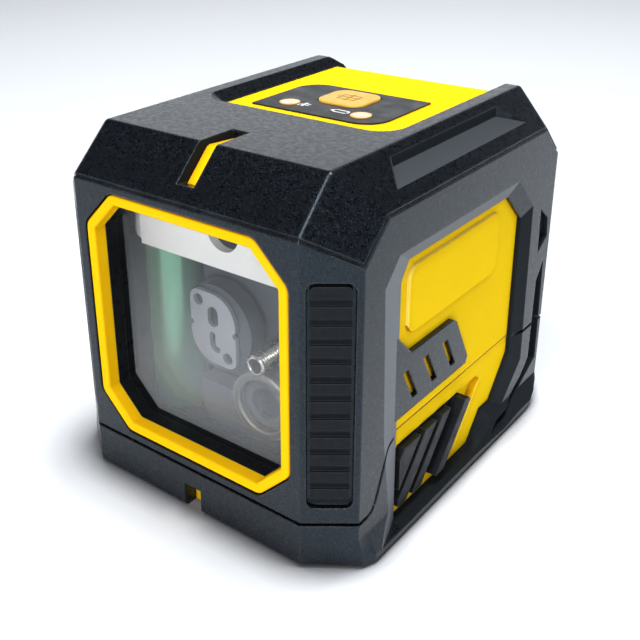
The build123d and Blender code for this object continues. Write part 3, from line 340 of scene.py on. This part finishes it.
def housing_yellow():
    """The housing's yellow, coloured matt black on its inner faces."""
    f, tone = yellow("yellow_plastic", deep=(0.85, 0.55, 0.005), light=(0.91, 0.6, 0.008))
    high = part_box("upper_housing")[1]
    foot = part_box("lower_housing")[0]
    middle = Vector((0, 0, (foot.z + high.z) / 2))
    margin = 0.05 * MM
    skin = WALL + margin
    looks_in, looks_out = -25 * MM, 30 * MM

    from_middle = f.node("ShaderNodeVectorMath", f.place, tuple(middle), operation="SUBTRACT").outputs[0]
    outward = f.dot(from_middle, f.direction())
    within_walls = f.where(
        (f.away("X"), "LESS_THAN", panel_half_width - skin),
        (f.away("Y"), "LESS_THAN", high.y - skin),
        (f.away("Z", middle.z), "LESS_THAN", high.z - middle.z - skin),
        (outward, "LESS_THAN", looks_out),
    )
    inner_face = f.where(
        (f.away("X"), "LESS_THAN", panel_half_width - WALL + margin),
        (outward, "LESS_THAN", looks_in),
    )
    painted = f.math("MAXIMUM", within_walls, inner_face)
    f.colour(f.mix(painted, tone, (0.012, 0.0125, 0.013)))
    return f


def frame_black():
    """Satin black plastic of the window's reveal, its edges lightened as rubbed wear and a painted
    highlight.
    """
    f = Finish("satin_black_plastic", Specular_IOR_Level=0.08)
    edge = f.rounded(0.35 * MM)
    tone = f.mottled(700, 3, dark=(0.003, 0.0033, 0.004), light=(0.007, 0.0077, 0.009))
    # edges lighter: partly rubbed wear, partly a painted highlight
    f.colour(f.mix(f.product(edge, EDGE_RUB_AND_HIGHLIGHT), tone, (0.05, 0.052, 0.057)))
    f.gloss(500, 3, smooth=0.24, dull=0.4)
    f.grain(1800, 2, strength=0.12, depth=0.05 * MM)
    return f


def grip_rubber():
    """Soft black rubber, with a fine matt skin and edges lightened as rubbed wear and a painted
    highlight.
    """
    f = Finish("grip_rubber", Specular_IOR_Level=0.12, Specular_Tint=(0.74, 0.88, 1.0, 1.0))
    edge = f.rounded(0.3 * MM)
    tone = f.mottled(1100, 3, dark=(0.004, 0.0045, 0.0055), light=(0.011, 0.012, 0.014))
    # edges lighter: partly rubbed wear, partly a painted highlight
    f.colour(f.mix(f.product(edge, EDGE_RUB_AND_HIGHLIGHT), tone, (0.035, 0.037, 0.04)))
    f.gloss(600, 3, smooth=0.42, dull=0.62)
    f.grain(2600, 2, strength=0.25, depth=0.06 * MM)
    return f


def lock_black():
    """Black plastic of the slider, its rib edges lightened as thumb wear and a painted highlight."""
    f = Finish("slider_plastic", Specular_IOR_Level=0.14, Specular_Tint=COOL_TINT)
    edge = f.rounded(0.35 * MM)
    tone = f.mottled(1500, 3, dark=(0.003, 0.0034, 0.0042), light=(0.009, 0.01, 0.012))
    # edges lighter: partly thumb wear, partly a painted highlight
    f.colour(f.mix(f.product(edge, EDGE_RUB_AND_HIGHLIGHT), tone, (0.04, 0.042, 0.046)))
    f.gloss(300, 3, smooth=0.3, dull=0.5)
    f.grain(2400, 2, strength=0.25, depth=0.06 * MM)
    return f


def label():
    """Dark grey membrane of the keypad, with a pebbled skin."""
    f = Finish("keypad_membrane", Specular_IOR_Level=0.25)
    f.colour(f.mottled(1300, 3, dark=(0.008, 0.009, 0.011), light=(0.015, 0.0165, 0.02)))
    f.gloss(220, 4, smooth=0.34, dull=0.5)
    f.bump(f.cells(1500), strength=0.12, depth=0.05 * MM)
    return f


def button_amber():
    """Amber silicone, a little cloudy under its skin."""
    f = Finish("amber_silicone", Subsurface_Weight=0.2, Subsurface_Scale=2.0 * MM)
    f.rounded(0.6 * MM)
    f.colour(f.mottled(160, 4, dark=(0.6, 0.32, 0.028), light=(0.7, 0.43, 0.062)))
    f.gloss(400, 3, smooth=0.32, dull=0.48)
    f.grain(1700, 2, strength=0.12, depth=0.05 * MM)
    return f


def lamp():
    """Cream light pipe with an amber rim, round each of two axes."""
    f = Finish("light_pipe", Subsurface_Weight=0.25, Subsurface_Scale=1.5 * MM)
    low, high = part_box("power_indicator")
    middle = (low + high) / 2
    rim_start, rim_end = 1.75 * MM, 2.2 * MM
    across = f.math("SUBTRACT", f.away("X"), middle.x)
    along = f.math("SUBTRACT", f.axis("Y"), middle.y)
    squares = f.math("ADD", f.math("POWER", across, 2.0), f.math("POWER", along, 2.0))
    rim = f.remap(f.math("SQRT", squares), rim_start, rim_end)
    tone = f.mottled(500, 3, dark=(0.55, 0.46, 0.29), light=(0.68, 0.6, 0.44))
    f.colour(f.mix(rim, tone, (0.78, 0.36, 0.06)))
    f.gloss(300, 2, smooth=0.24, dull=0.36)
    f.grain(900, 2, strength=0.08, depth=0.05 * MM)
    return f


def bracket_white():
    """White satin plastic with faint flow marks."""
    f = Finish("white_plastic")
    f.colour(f.mottled(120, 4, dark=(0.6, 0.6, 0.59), light=(0.69, 0.69, 0.675)))
    f.gloss(260, 3, smooth=0.38, dull=0.55)
    f.grain(1500, 3, strength=0.15, depth=0.06 * MM)
    return f


def nylon():
    """Dark nylon, slightly waxy."""
    f = Finish("dark_nylon")
    f.colour(f.mottled(300, 4, dark=(0.04, 0.042, 0.045), light=(0.075, 0.078, 0.08)))
    f.gloss(220, 3, smooth=0.36, dull=0.55)
    f.grain(1400, 2, strength=0.1, depth=0.05 * MM)
    return f


def pad_rubber():
    """Matt black rubber of the lock's pad."""
    f = Finish("pad_rubber")
    f.colour(f.mottled(900, 4, dark=(0.012, 0.012, 0.013), light=(0.03, 0.03, 0.032)))
    f.gloss(500, 3, smooth=0.66, dull=0.85)
    f.grain(2200, 3, strength=0.3, depth=0.08 * MM)
    return f


# Metals

def steel():
    """Bright plated steel with turning marks."""
    f = Finish("plated_steel", Metallic=1.0)
    lines = f.noise(1.0, 3, f.stretched((900, 6000, 900)))
    f.colour(f.mix(lines, (0.42, 0.42, 0.42), (0.68, 0.67, 0.65)))
    f.gloss(700, 3, smooth=0.2, dull=0.38)
    f.bump(lines, strength=0.1, depth=0.02 * MM)
    return f


def screw_steel():
    """Plated screws under the base, with a cross recess in each of the four heads, drawn as relief and
    painted dark as its shade.
    """
    f = Finish("screw_steel", Metallic=1.0)
    low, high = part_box("housing_screws")
    head_radius, arm_reach = 2.7 * MM, 1.45 * MM
    arm_edge, arm_floor = 0.42 * MM, 0.3 * MM
    front, rear = low.y + head_radius, high.y - head_radius
    across = f.size(f.math("SUBTRACT", f.away("X"), high.x - head_radius))
    along = f.size(f.math("SUBTRACT", f.away("Y", (front + rear) / 2), (rear - front) / 2))
    arms = []
    for reach, width in ((across, along), (along, across)):
        within = f.math("LESS_THAN", reach, arm_reach)
        arms.append(f.product(within, f.remap(width, arm_edge, arm_floor)))
    recess = f.math("MAXIMUM", *arms)
    tone = f.mottled(900, 3, dark=(0.4, 0.4, 0.4), light=(0.62, 0.61, 0.6))
    # painted shade: the cross recess darkened
    f.colour(f.mix(recess, tone, (0.03, 0.03, 0.03)))
    f.gloss(500, 3, smooth=0.22, dull=0.42)
    f.bump(f.math("SUBTRACT", 1.0, recess), strength=1.0, depth=0.5 * MM)
    return f


def alloy():
    """Dark grey casting, with a smooth skin and painted shade in its hollows."""
    f = Finish("grey_casting", Metallic=0.3, Specular_IOR_Level=0.2)
    tone = f.mottled(220, 2, dark=(0.05, 0.059, 0.073), light=(0.064, 0.074, 0.09))
    hollow = f.shade_depth(1.6 * MM, open_sky=0.95, hidden=0.5)
    # painted shade: hollows darkened
    f.colour(f.mix(hollow, tone, (0.006, 0.007, 0.009)))
    f.gloss(220, 2, smooth=0.44, dull=0.54)
    f.grain(500, 2, strength=0.06, depth=0.04 * MM)
    return f


def ring_alloy():
    """The turned ring in front of the lower module, with its edges painted bright as a highlight."""
    f = Finish("turned_ring", Metallic=0.8)
    edge = f.rounded(1.0 * MM)
    tone = f.mottled(600, 3, dark=(0.13, 0.125, 0.12), light=(0.22, 0.21, 0.2))
    # painted highlight: edges lighter
    f.colour(f.mix(edge, tone, (0.4, 0.37, 0.34)))
    f.gloss(500, 3, smooth=0.32, dull=0.46)
    f.grain(1800, 2, strength=0.1, depth=0.03 * MM)
    return f


def stamped():
    """Grey stamped steel with a rolled grain."""
    f = Finish("stamped_steel", Metallic=0.6)
    rolled = f.noise(1.0, 4, f.stretched((2400, 900, 500)))
    f.colour(f.mix(rolled, (0.24, 0.255, 0.285), (0.36, 0.375, 0.41)))
    f.gloss(500, 3, smooth=0.38, dull=0.55)
    f.bump(rolled, strength=0.15, depth=0.03 * MM)
    return f


def anodised():
    """Black anodised barrels with a turned sheen."""
    f = Finish("black_anodised", Metallic=0.4, Specular_IOR_Level=0.1)
    lines = f.noise(1.0, 3, f.stretched((700, 5200, 700)))
    f.colour(f.mix(lines, (0.005, 0.0053, 0.006), (0.012, 0.0125, 0.014)))
    f.gloss(500, 3, smooth=0.32, dull=0.5)
    f.bump(lines, strength=0.12, depth=0.02 * MM)
    return f


def stud_steel():
    """Clean plated steel of the balance screw, with painted shade between the turns of its thread."""
    f = Finish("stud_steel", Metallic=1.0)
    tone = f.mottled(900, 2, dark=(0.34, 0.325, 0.3), light=(0.46, 0.44, 0.41))
    hollow = f.shade_depth(0.7 * MM, open_sky=0.95, hidden=0.6)
    # painted shade: between the turns of the thread
    f.colour(f.mix(hollow, tone, (0.02, 0.02, 0.02)))
    f.gloss(700, 3, smooth=0.18, dull=0.3)
    f.grain(2500, 2, strength=0.05, depth=0.02 * MM)
    return f


def brass(name):
    """Turned brass, a little tarnished."""
    f = Finish(name, Metallic=1.0)
    lines = f.noise(1.0, 3, f.stretched((700, 700, 5200)))
    tarnish = f.remap(f.noise(240, 4), 0.4, 0.75)
    tone = f.mix(lines, (0.58, 0.38, 0.13), (0.78, 0.56, 0.24))
    f.colour(f.mix(tarnish, tone, (0.34, 0.2, 0.08)))
    f.rough(f.remap(tarnish, 0, 1, start=0.24, end=0.46))
    f.bump(lines, strength=0.12, depth=0.02 * MM)
    return f


def tripod_brass():
    """The tripod insert: turned brass with thread ridges down its bore."""
    f = brass("threaded_brass")
    pitch = 1.27 * MM
    waves_per_unit = 3.183
    scale = 1 / pitch / waves_per_unit
    turns = f.node("ShaderNodeTexWave", f.place, bands_direction="Z", Scale=scale).outputs["Fac"]
    f.bump(turns, strength=0.8, depth=0.35 * MM)
    return f


# Cells, boards, glass and print

def cell_sleeve():
    """Green foil sleeve with bare steel ends."""
    f = Finish("foil_sleeve")
    low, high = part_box("left_cell")
    sleeve_top, sleeve_foot = high.z - 2.0 * MM, low.z + 0.9 * MM
    hem = 0.2 * MM
    upper = f.remap(f.axis("Z"), sleeve_top, sleeve_top + hem)
    lower = f.remap(f.axis("Z"), sleeve_foot, sleeve_foot - hem)
    bare = f.math("MAXIMUM", upper, lower)
    green = f.mottled(60, 4, dark=(0.08, 0.23, 0.14), light=(0.12, 0.29, 0.19))
    f.colour(f.mix(bare, green, (0.6, 0.6, 0.58)))
    f.feed(f.remap(bare, 0, 1, start=0.6, end=1.0), f.shader.inputs["Metallic"])
    f.gloss(200, 3, smooth=0.16, dull=0.26)
    f.grain(350, 2, strength=0.1, depth=0.1 * MM)
    return f


def board():
    """Green solder resist over copper tracks."""
    f = Finish("circuit_board")
    bricks = f.node("ShaderNodeTexBrick", f.place, Scale=160.0, Mortar_Size=0.06, offset=0.5)
    tracks = bricks.outputs["Fac"]
    f.colour(f.mix(tracks, (0.01, 0.1, 0.045), (0.02, 0.19, 0.08)))
    f.gloss(300, 3, smooth=0.28, dull=0.42)
    f.bump(tracks, strength=0.4, depth=0.05 * MM)
    return f


def window():
    """Coated glass: clear, with a whitish veil that thickens towards its lower left corner, painted in
    as the floor's reflection, and faint smears.
    """
    f = Finish("coated_glass", Metallic=0.2)
    low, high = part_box("window_glass")
    leftward_share = 0.3
    fall = f.remap(f.axis("Z"), high.z, low.z)
    left = f.remap(f.axis("X"), high.x, low.x)
    # painted reflection: a veil that grows towards the lower left, standing for the floor's reflection
    haze = f.remap(f.part_way(leftward_share, fall, left), 0.35, 0.95, start=0.03, end=0.15)
    smears = f.noise(26, 4)
    # the painted reflection with real smears on top
    reflection_and_smears = f.math("ADD", haze, f.remap(smears, 0.4, 0.8, start=0.0, end=0.02))
    f.feed(reflection_and_smears, f.shader.inputs["Alpha"])
    f.colour(f.mix(smears, (0.78, 0.84, 0.9), (0.88, 0.92, 0.96)))
    f.rough(f.remap(smears, 0.35, 0.75, start=0.02, end=0.07))
    return f


def lens():
    """Polished rod lens."""
    f = Finish("polished_lens", Transmission_Weight=1.0, IOR=1.52)
    haze = f.noise(300, 3)
    f.colour(f.mix(haze, (0.86, 0.95, 0.9), (0.95, 1.0, 0.97)))
    f.rough(f.remap(haze, *NOISE_RANGE, start=0.02, end=0.08))
    return f


def print_ink(name, dark, light):
    """Screen-printed ink, a little uneven."""
    f = Finish(name)
    f.colour(f.mottled(1600, 3, dark, light))
    f.gloss(800, 2, smooth=0.42, dull=0.6)
    f.grain(2500, 2, strength=0.1, depth=0.02 * MM)
    return f


# Finishes on the CAD nodes

dressing = [
    (armour(), "top_cover body_armour base_armour"),
    (housing_yellow(), "upper_housing lower_housing"),
    (bezel_yellow(), "window_bezel"),
    (frame_black(), "window_frame mode_switch"),
    (window(), "window_glass"),
    (grip_rubber(), "left_grip_strip right_grip_strip port_cover"),
    (lock_black(), "lock_slider"),
    (label(), "keypad_label"),
    (button_amber(), "mode_button"),
    (lamp(), "charge_indicator power_indicator status_leds"),
    (board(), "control_board charging_board"),
    (steel(), "board_screws bracket_screws pitch_pins roll_pins pitch_bearings roll_bearings "
              "usb_socket upper_contacts lower_contacts damping_magnet"),
    (stud_steel(), "balance_screw"),
    (screw_steel(), "housing_screws"),
    (bracket_white(), "gimbal_bracket plunger_guide"),
    (cell_sleeve(), "left_cell right_cell"),
    (nylon(), "lock_bar lock_plunger"),
    (pad_rubber(), "lock_pad"),
    (alloy(), "pendulum_body gimbal_ring"),
    (ring_alloy(), "lens_ring"),
    (stamped(), "module_retainer"),
    (anodised(), "vertical_line_module horizontal_line_module"),
    (brass("turned_brass"), "balance_weight"),
    (tripod_brass(), "tripod_insert"),
    (lens(), "vertical_line_lens horizontal_line_lens"),
]
finishes = {}
for finish, names in dressing:
    for name in names.split():
        finishes[name] = finish.material
        if not nodes[name].material_slots:
            nodes[name].data.materials.append(finish.material)
        for place in nodes[name].material_slots:
            place.material = finish.material


# New pieces

def piece(name, mesh, material, body):
    """A piece that rides on a body and takes the finish it is given."""
    made = bpy.data.objects.new(name, mesh)
    bpy.context.scene.collection.objects.link(made)
    mesh.materials.append(material)
    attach(made, body)
    return made


def prism(shape, section, step):
    """Adds a flat section, drawn out by a step into a solid."""
    near = [shape.verts.new(point) for point in section]
    far = [shape.verts.new(Vector(point) + Vector(step)) for point in section]
    shape.faces.new(near)
    shape.faces.new(far)
    for k in range(len(section)):
        shape.faces.new((near[k - 1], near[k], far[k], far[k - 1]))


def closed_mesh(name, shape, place=None):
    """A mesh from a finished shape, with its faces turned outwards, moved to a place if one is given."""
    bmesh.ops.recalc_face_normals(shape, faces=shape.faces)
    if place is not None:
        shape.transform(place)
    mesh = bpy.data.meshes.new(name)
    shape.to_mesh(mesh)
    shape.free()
    return mesh


def threaded_stud():
    """The hollow balance screw with a real thread along its length."""
    low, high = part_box("balance_screw")
    middle = (low + high) / 2
    radius = (high.x - low.x) / 2
    length = high.y - low.y
    pitch, depth = 0.8 * MM, 0.42 * MM
    socket, sunk, mouth = 1.65 * MM, 6.0 * MM, 0.15 * MM
    lead_in, lead_share = 0.2 * MM, 0.25
    around, steps, first_step = 48, 160, 3
    circle_turn = 2 * math.pi
    shape = bmesh.new()

    def ring(y, size_at):
        """Points round the axis at one depth, with a radius for each angle."""
        points = []
        for k in range(around):
            angle = circle_turn * k / around
            size = size_at(angle)
            x, z = middle.x + size * math.cos(angle), middle.z + size * math.sin(angle)
            points.append(shape.verts.new((x, y, z)))
        return points

    def plain(y, size):
        """A round ring."""
        return ring(y, lambda angle: size)

    def ridged(y):
        """A ring across the thread, which rises from nothing along its first turn."""
        turns = (y - low.y) / pitch
        lead = min(1.0, turns)
        return ring(y, lambda a: radius - depth * lead * abs(2 * ((turns + a / circle_turn) % 1.0) - 1))

    rows = [
        plain(low.y + sunk, socket),
        plain(low.y + mouth, socket),
        plain(low.y, socket + mouth),
        plain(low.y, radius - depth),
        plain(low.y + lead_in, radius - lead_share * depth),
    ]
    rows += [ridged(low.y + length * k / steps) for k in range(first_step, steps + 1)]
    for first, second in zip(rows, rows[1:]):
        for k in range(around):
            following = (k + 1) % around
            shape.faces.new((first[k], first[following], second[following], second[k]))
    shape.faces.new(list(reversed(rows[0])))
    shape.faces.new(rows[-1])
    mesh = closed_mesh("balance_screw_thread", shape)
    made = piece("balance_screw_threaded", mesh, finishes["balance_screw"], "pendulum")
    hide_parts("balance_screw")


def guide_rib():
    """The yellow rib along the floor of the slot in the cover: down the slope, and level under the top.

    Its points are millimetres back from the cover's front and down from its top.
    """
    low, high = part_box("top_cover")
    half_width = 2.05 * MM
    crest = [(5.35, 7.55), (10.9, 2.06), (11.5, 1.55), (12.3, 1.3), (19.6, 1.9)]
    root = [(19.6, 3.42), (11.0, 3.42), (6.5, 7.85)]
    shape = bmesh.new()
    section = [(-half_width, low.y + back * MM, high.z - down * MM) for back, down in crest + root]
    prism(shape, section, (2 * half_width, 0, 0))
    mesh = closed_mesh("guide_rib", shape)
    piece("guide_rib", mesh, finishes["window_bezel"], "housing")


def arc(middle, radius, start, end, steps=16):
    """Points along an arc, with its angles in degrees."""
    angles = [math.radians(start + (end - start) * k / steps) for k in range(steps + 1)]
    return [(middle[0] + radius * math.cos(a), middle[1] + radius * math.sin(a)) for a in angles]


def circle(middle, radius, steps=24):
    """Points round a circle."""
    return arc(middle, radius, 0, 360, steps)[:-1]


def straight_slot(top, foot, radius):
    """Outline of an upright slot between the middles of its round ends."""
    return arc(top, radius, 0, 180) + arc(foot, radius, 180, 360)


def bent_slot(top, bend, radius, width):
    """Outline of a slot that runs down from its top and turns to the right round a bend."""
    half = width / 2
    line = bend[0] - radius
    outer = arc(bend, radius + half, 180, 270)
    inner = arc(bend, radius - half, 270, 180)
    foot = arc((bend[0], bend[1] - radius), half, -90, 90)
    return arc((line, top), half, 0, 180) + outer + foot + inner


def retainer_plate():
    """The stamped plate over the vertical line module, with eared corners, notches and two plain slots.

    Its outlines are millimetres round its middle.
    """
    low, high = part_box("module_retainer")
    half_x, half_y = (high.x - low.x) / 2 / MM, (high.z - low.z) / 2 / MM
    ear, shoulder, hole, notch = 2.5, 7.0, 1.4, 0.8
    slot_top, slot_foot, slot_radius = (0.1, 4.0), (0.1, 2.0), 1.5
    bent_top, bend, bend_radius, bent_width = -1.6, (1.1, -3.7), 1.3, 1.6

    rim = arc((half_x, 0), notch, 270, 90)
    rim += arc((half_x - shoulder, half_y - shoulder), shoulder, 0, 90)
    rim += arc((ear - half_x, half_y - ear), ear, 90, 180)
    rim += arc((-half_x, 0), notch, 90, -90)
    rim += arc((shoulder - half_x, shoulder - half_y), shoulder, 180, 270)
    rim += arc((half_x - ear, ear - half_y), ear, 270, 360)
    slots = [
        straight_slot(slot_top, slot_foot, slot_radius),
        bent_slot(bent_top, bend, bend_radius, bent_width),
    ]
    holes = [circle((side * (half_x - ear), -side * (half_y - ear)), hole) for side in (-1, 1)]

    drawing = bpy.data.curves.new("retainer_outline", "CURVE")
    drawing.dimensions = "2D"
    drawing.fill_mode = "BOTH"
    drawing.extrude = (high.y - low.y) / 2
    for points in [rim] + slots + holes:
        spline = drawing.splines.new("POLY")
        spline.points.add(len(points) - 1)
        for point, (x, y) in zip(spline.points, points):
            point.co = (x * MM, y * MM, 0, 1)
        spline.use_cyclic_u = True
    drawn = bpy.data.objects.new("retainer_outline", drawing)
    mesh = bpy.data.meshes.new_from_object(drawn)
    bpy.data.objects.remove(drawn)
    upright = Matrix.Rotation(math.radians(90), 4, "X")
    mesh.transform(Matrix.Translation((low + high) / 2) @ upright)
    made = piece("retainer_plate", mesh, finishes["module_retainer"], "pendulum")
    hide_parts("module_retainer")


def bars(points, width):
    """Corners of the flat bars of even width that join points in the plane of a print."""
    for start, end in zip(points, points[1:]):
        start, end = Vector(start), Vector(end)
        along = (end - start).normalized() * width / 2
        side = Vector((-along.y, along.x))
        start, end = start - along, end + along
        corners = [start - side, end - side, end + side, start + side]
        yield [corner.to_3d() for corner in corners]


def box_line(half_x, half_y):
    """Points once round a rectangle."""
    corners = [(-half_x, -half_y), (half_x, -half_y), (half_x, half_y), (-half_x, half_y)]
    return corners + corners[:1]


def symbol(name, strokes, middle, level, material, body):
    """A printed symbol: flat strokes round a middle, on a level, raised by the ink's thickness."""
    drawing_scale, ink = 0.88 * MM, 0.04
    shape = bmesh.new()
    for points, width in strokes:
        for corners in bars(points, width):
            prism(shape, corners, (0, 0, ink))
    place = Matrix.Translation((middle[0], middle[1], level)) @ Matrix.Scale(drawing_scale, 4)
    piece(name, closed_mesh(name, shape, place), material, body)


def symbols():
    """A plug and a battery beside the two lamps, and crossed lines in a frame on the button."""
    white_ink = print_ink("white_ink", (0.7, 0.7, 0.68), (0.84, 0.84, 0.82)).material
    brown_ink = print_ink("brown_ink", (0.2, 0.1, 0.015), (0.3, 0.15, 0.025)).material
    label_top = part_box("keypad_label")[1].z
    low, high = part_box("mode_button")
    plug_body, plug_line, battery_line, frame_line, beam = 1.0, 0.42, 0.46, 0.28, 0.34
    plug_middle, battery_middle = (-5.6 * MM, 0.8 * MM), (4.35 * MM, 0.65 * MM)

    plug = [
        ([(-0.2, -0.9), (-0.2, 0.9)], plug_body),
        ([(0.2, 0.5), (1.3, 0.5)], plug_line),
        ([(0.2, -0.5), (1.3, -0.5)], plug_line),
        ([(-0.6, 0.0), (-1.4, 0.0), (-1.4, -1.2)], plug_line),
    ]
    battery = [
        (box_line(2.2, 0.95), battery_line),
        ([(-2.65, -0.3), (-2.65, 0.3)], battery_line),
    ]
    crossed_lines = [
        (box_line(2.6, 2.0), frame_line),
        ([(-3.4, 0.0), (3.4, 0.0)], beam),
        ([(0.0, -2.9), (0.0, 2.9)], beam),
    ]
    symbol("plug_symbol", plug, plug_middle, label_top, white_ink, "housing")
    symbol("battery_symbol", battery, battery_middle, label_top, white_ink, "housing")
    symbol("cross_line_symbol", crossed_lines, (low + high) / 2, high.z, brown_ink,
           "button")


symbols()
threaded_stud()
guide_rib()
retainer_plate()


# Floor, light and camera

def floor():
    """A plain pale floor, with a painted contact shadow right under the edges that stand on it."""
    reach = 1.05
    corners = [(-reach, -reach, 0), (reach, -reach, 0), (reach, reach, 0), (-reach, reach, 0)]
    mesh = bpy.data.meshes.new("floor")
    mesh.from_pydata(corners, [], [(0, 1, 2, 3)])
    made = bpy.data.objects.new("floor", mesh)
    bpy.context.scene.collection.objects.link(made)
    f = Finish("pale_floor", Roughness=0.6)
    tone = f.mottled(3, 2, dark=(0.77, 0.8, 0.84), light=(0.79, 0.82, 0.86))
    contact_shadow = f.shade_depth(8 * MM, open_sky=0.97, hidden=0.5)
    # painted shadow: the floor darkened right beside the object
    f.colour(f.mix(contact_shadow, tone, (0.15, 0.15, 0.16)))
    mesh.materials.append(f.material)


def studio():
    """White walls all round and a dark ceiling; a height is the sine of an angle above the horizon."""
    heights_and_greys = [(0.0, 0.8), (0.28, 0.9), (0.37, 0.03), (1.0, 0.02)]
    tint = Vector((0.9, 0.97, 1.07))
    halfway = 0.5
    world = bpy.data.worlds.new("studio")
    bpy.context.scene.world = world
    world.use_nodes = True
    tree = world.node_tree
    place = tree.nodes.new("ShaderNodeTexCoord").outputs["Generated"]
    split = tree.nodes.new("ShaderNodeSeparateXYZ")
    ramp = tree.nodes.new("ShaderNodeValToRGB")
    stops = ramp.color_ramp.elements
    while len(stops) < len(heights_and_greys):
        stops.new(halfway)
    for stop, (height, grey) in zip(stops, heights_and_greys):
        stop.position = height
        stop.color = (*(tint * grey), 1)
    tree.links.new(place, split.inputs[0])
    tree.links.new(split.outputs["Z"], ramp.inputs[0])
    tree.links.new(ramp.outputs[0], tree.nodes["Background"].inputs["Color"])


def softbox(name, place, aim, size, watts):
    """A rectangular soft light that faces a point."""
    light = bpy.data.lights.new(name, "AREA")
    light.shape = "RECTANGLE"
    light.size, light.size_y = size
    light.energy = watts
    made = bpy.data.objects.new(name, light)
    bpy.context.scene.collection.objects.link(made)
    made.location = place
    made.rotation_euler = (Vector(aim) - Vector(place)).to_track_quat("-Z", "Y").to_euler()


def camera():
    """The photograph's place, lens and framing."""
    tilt, roll, turn = 66.51, 0.86, 38.56
    lens_data = bpy.data.cameras.new("camera")
    lens_data.sensor_width = 36.0
    lens_data.lens = 53.86
    lens_data.shift_x = 0.0708
    lens_data.shift_y = -0.1166
    lens_data.clip_start = 0.01
    made = bpy.data.objects.new("camera", lens_data)
    bpy.context.scene.collection.objects.link(made)
    made.location = (0.12192, -0.16893, 0.13763)
    made.rotation_euler = [math.radians(angle) for angle in (tilt, roll, turn)]
    bpy.context.scene.camera = made


floor()
studio()
softbox("overhead", place=(0.12, 0.11, 1.08), aim=(0, 0, 0.04), size=(0.46, 0.24), watts=12.3)
softbox("front", place=(0.4, -0.95, 0.42), aim=(0, 0, 0.04), size=(0.6, 0.25), watts=6.3)
softbox("back", place=(-0.75, 1.05, 0.6), aim=(0, 0, 0.06), size=(0.9, 0.4), watts=1.25)
softbox("strip", place=(0.11, -0.61, 1.08), aim=(0.04, -0.04, 0.08), size=(0.1, 0.4), watts=6.5)
camera()
bpy.context.scene.view_settings.view_transform = "Standard"
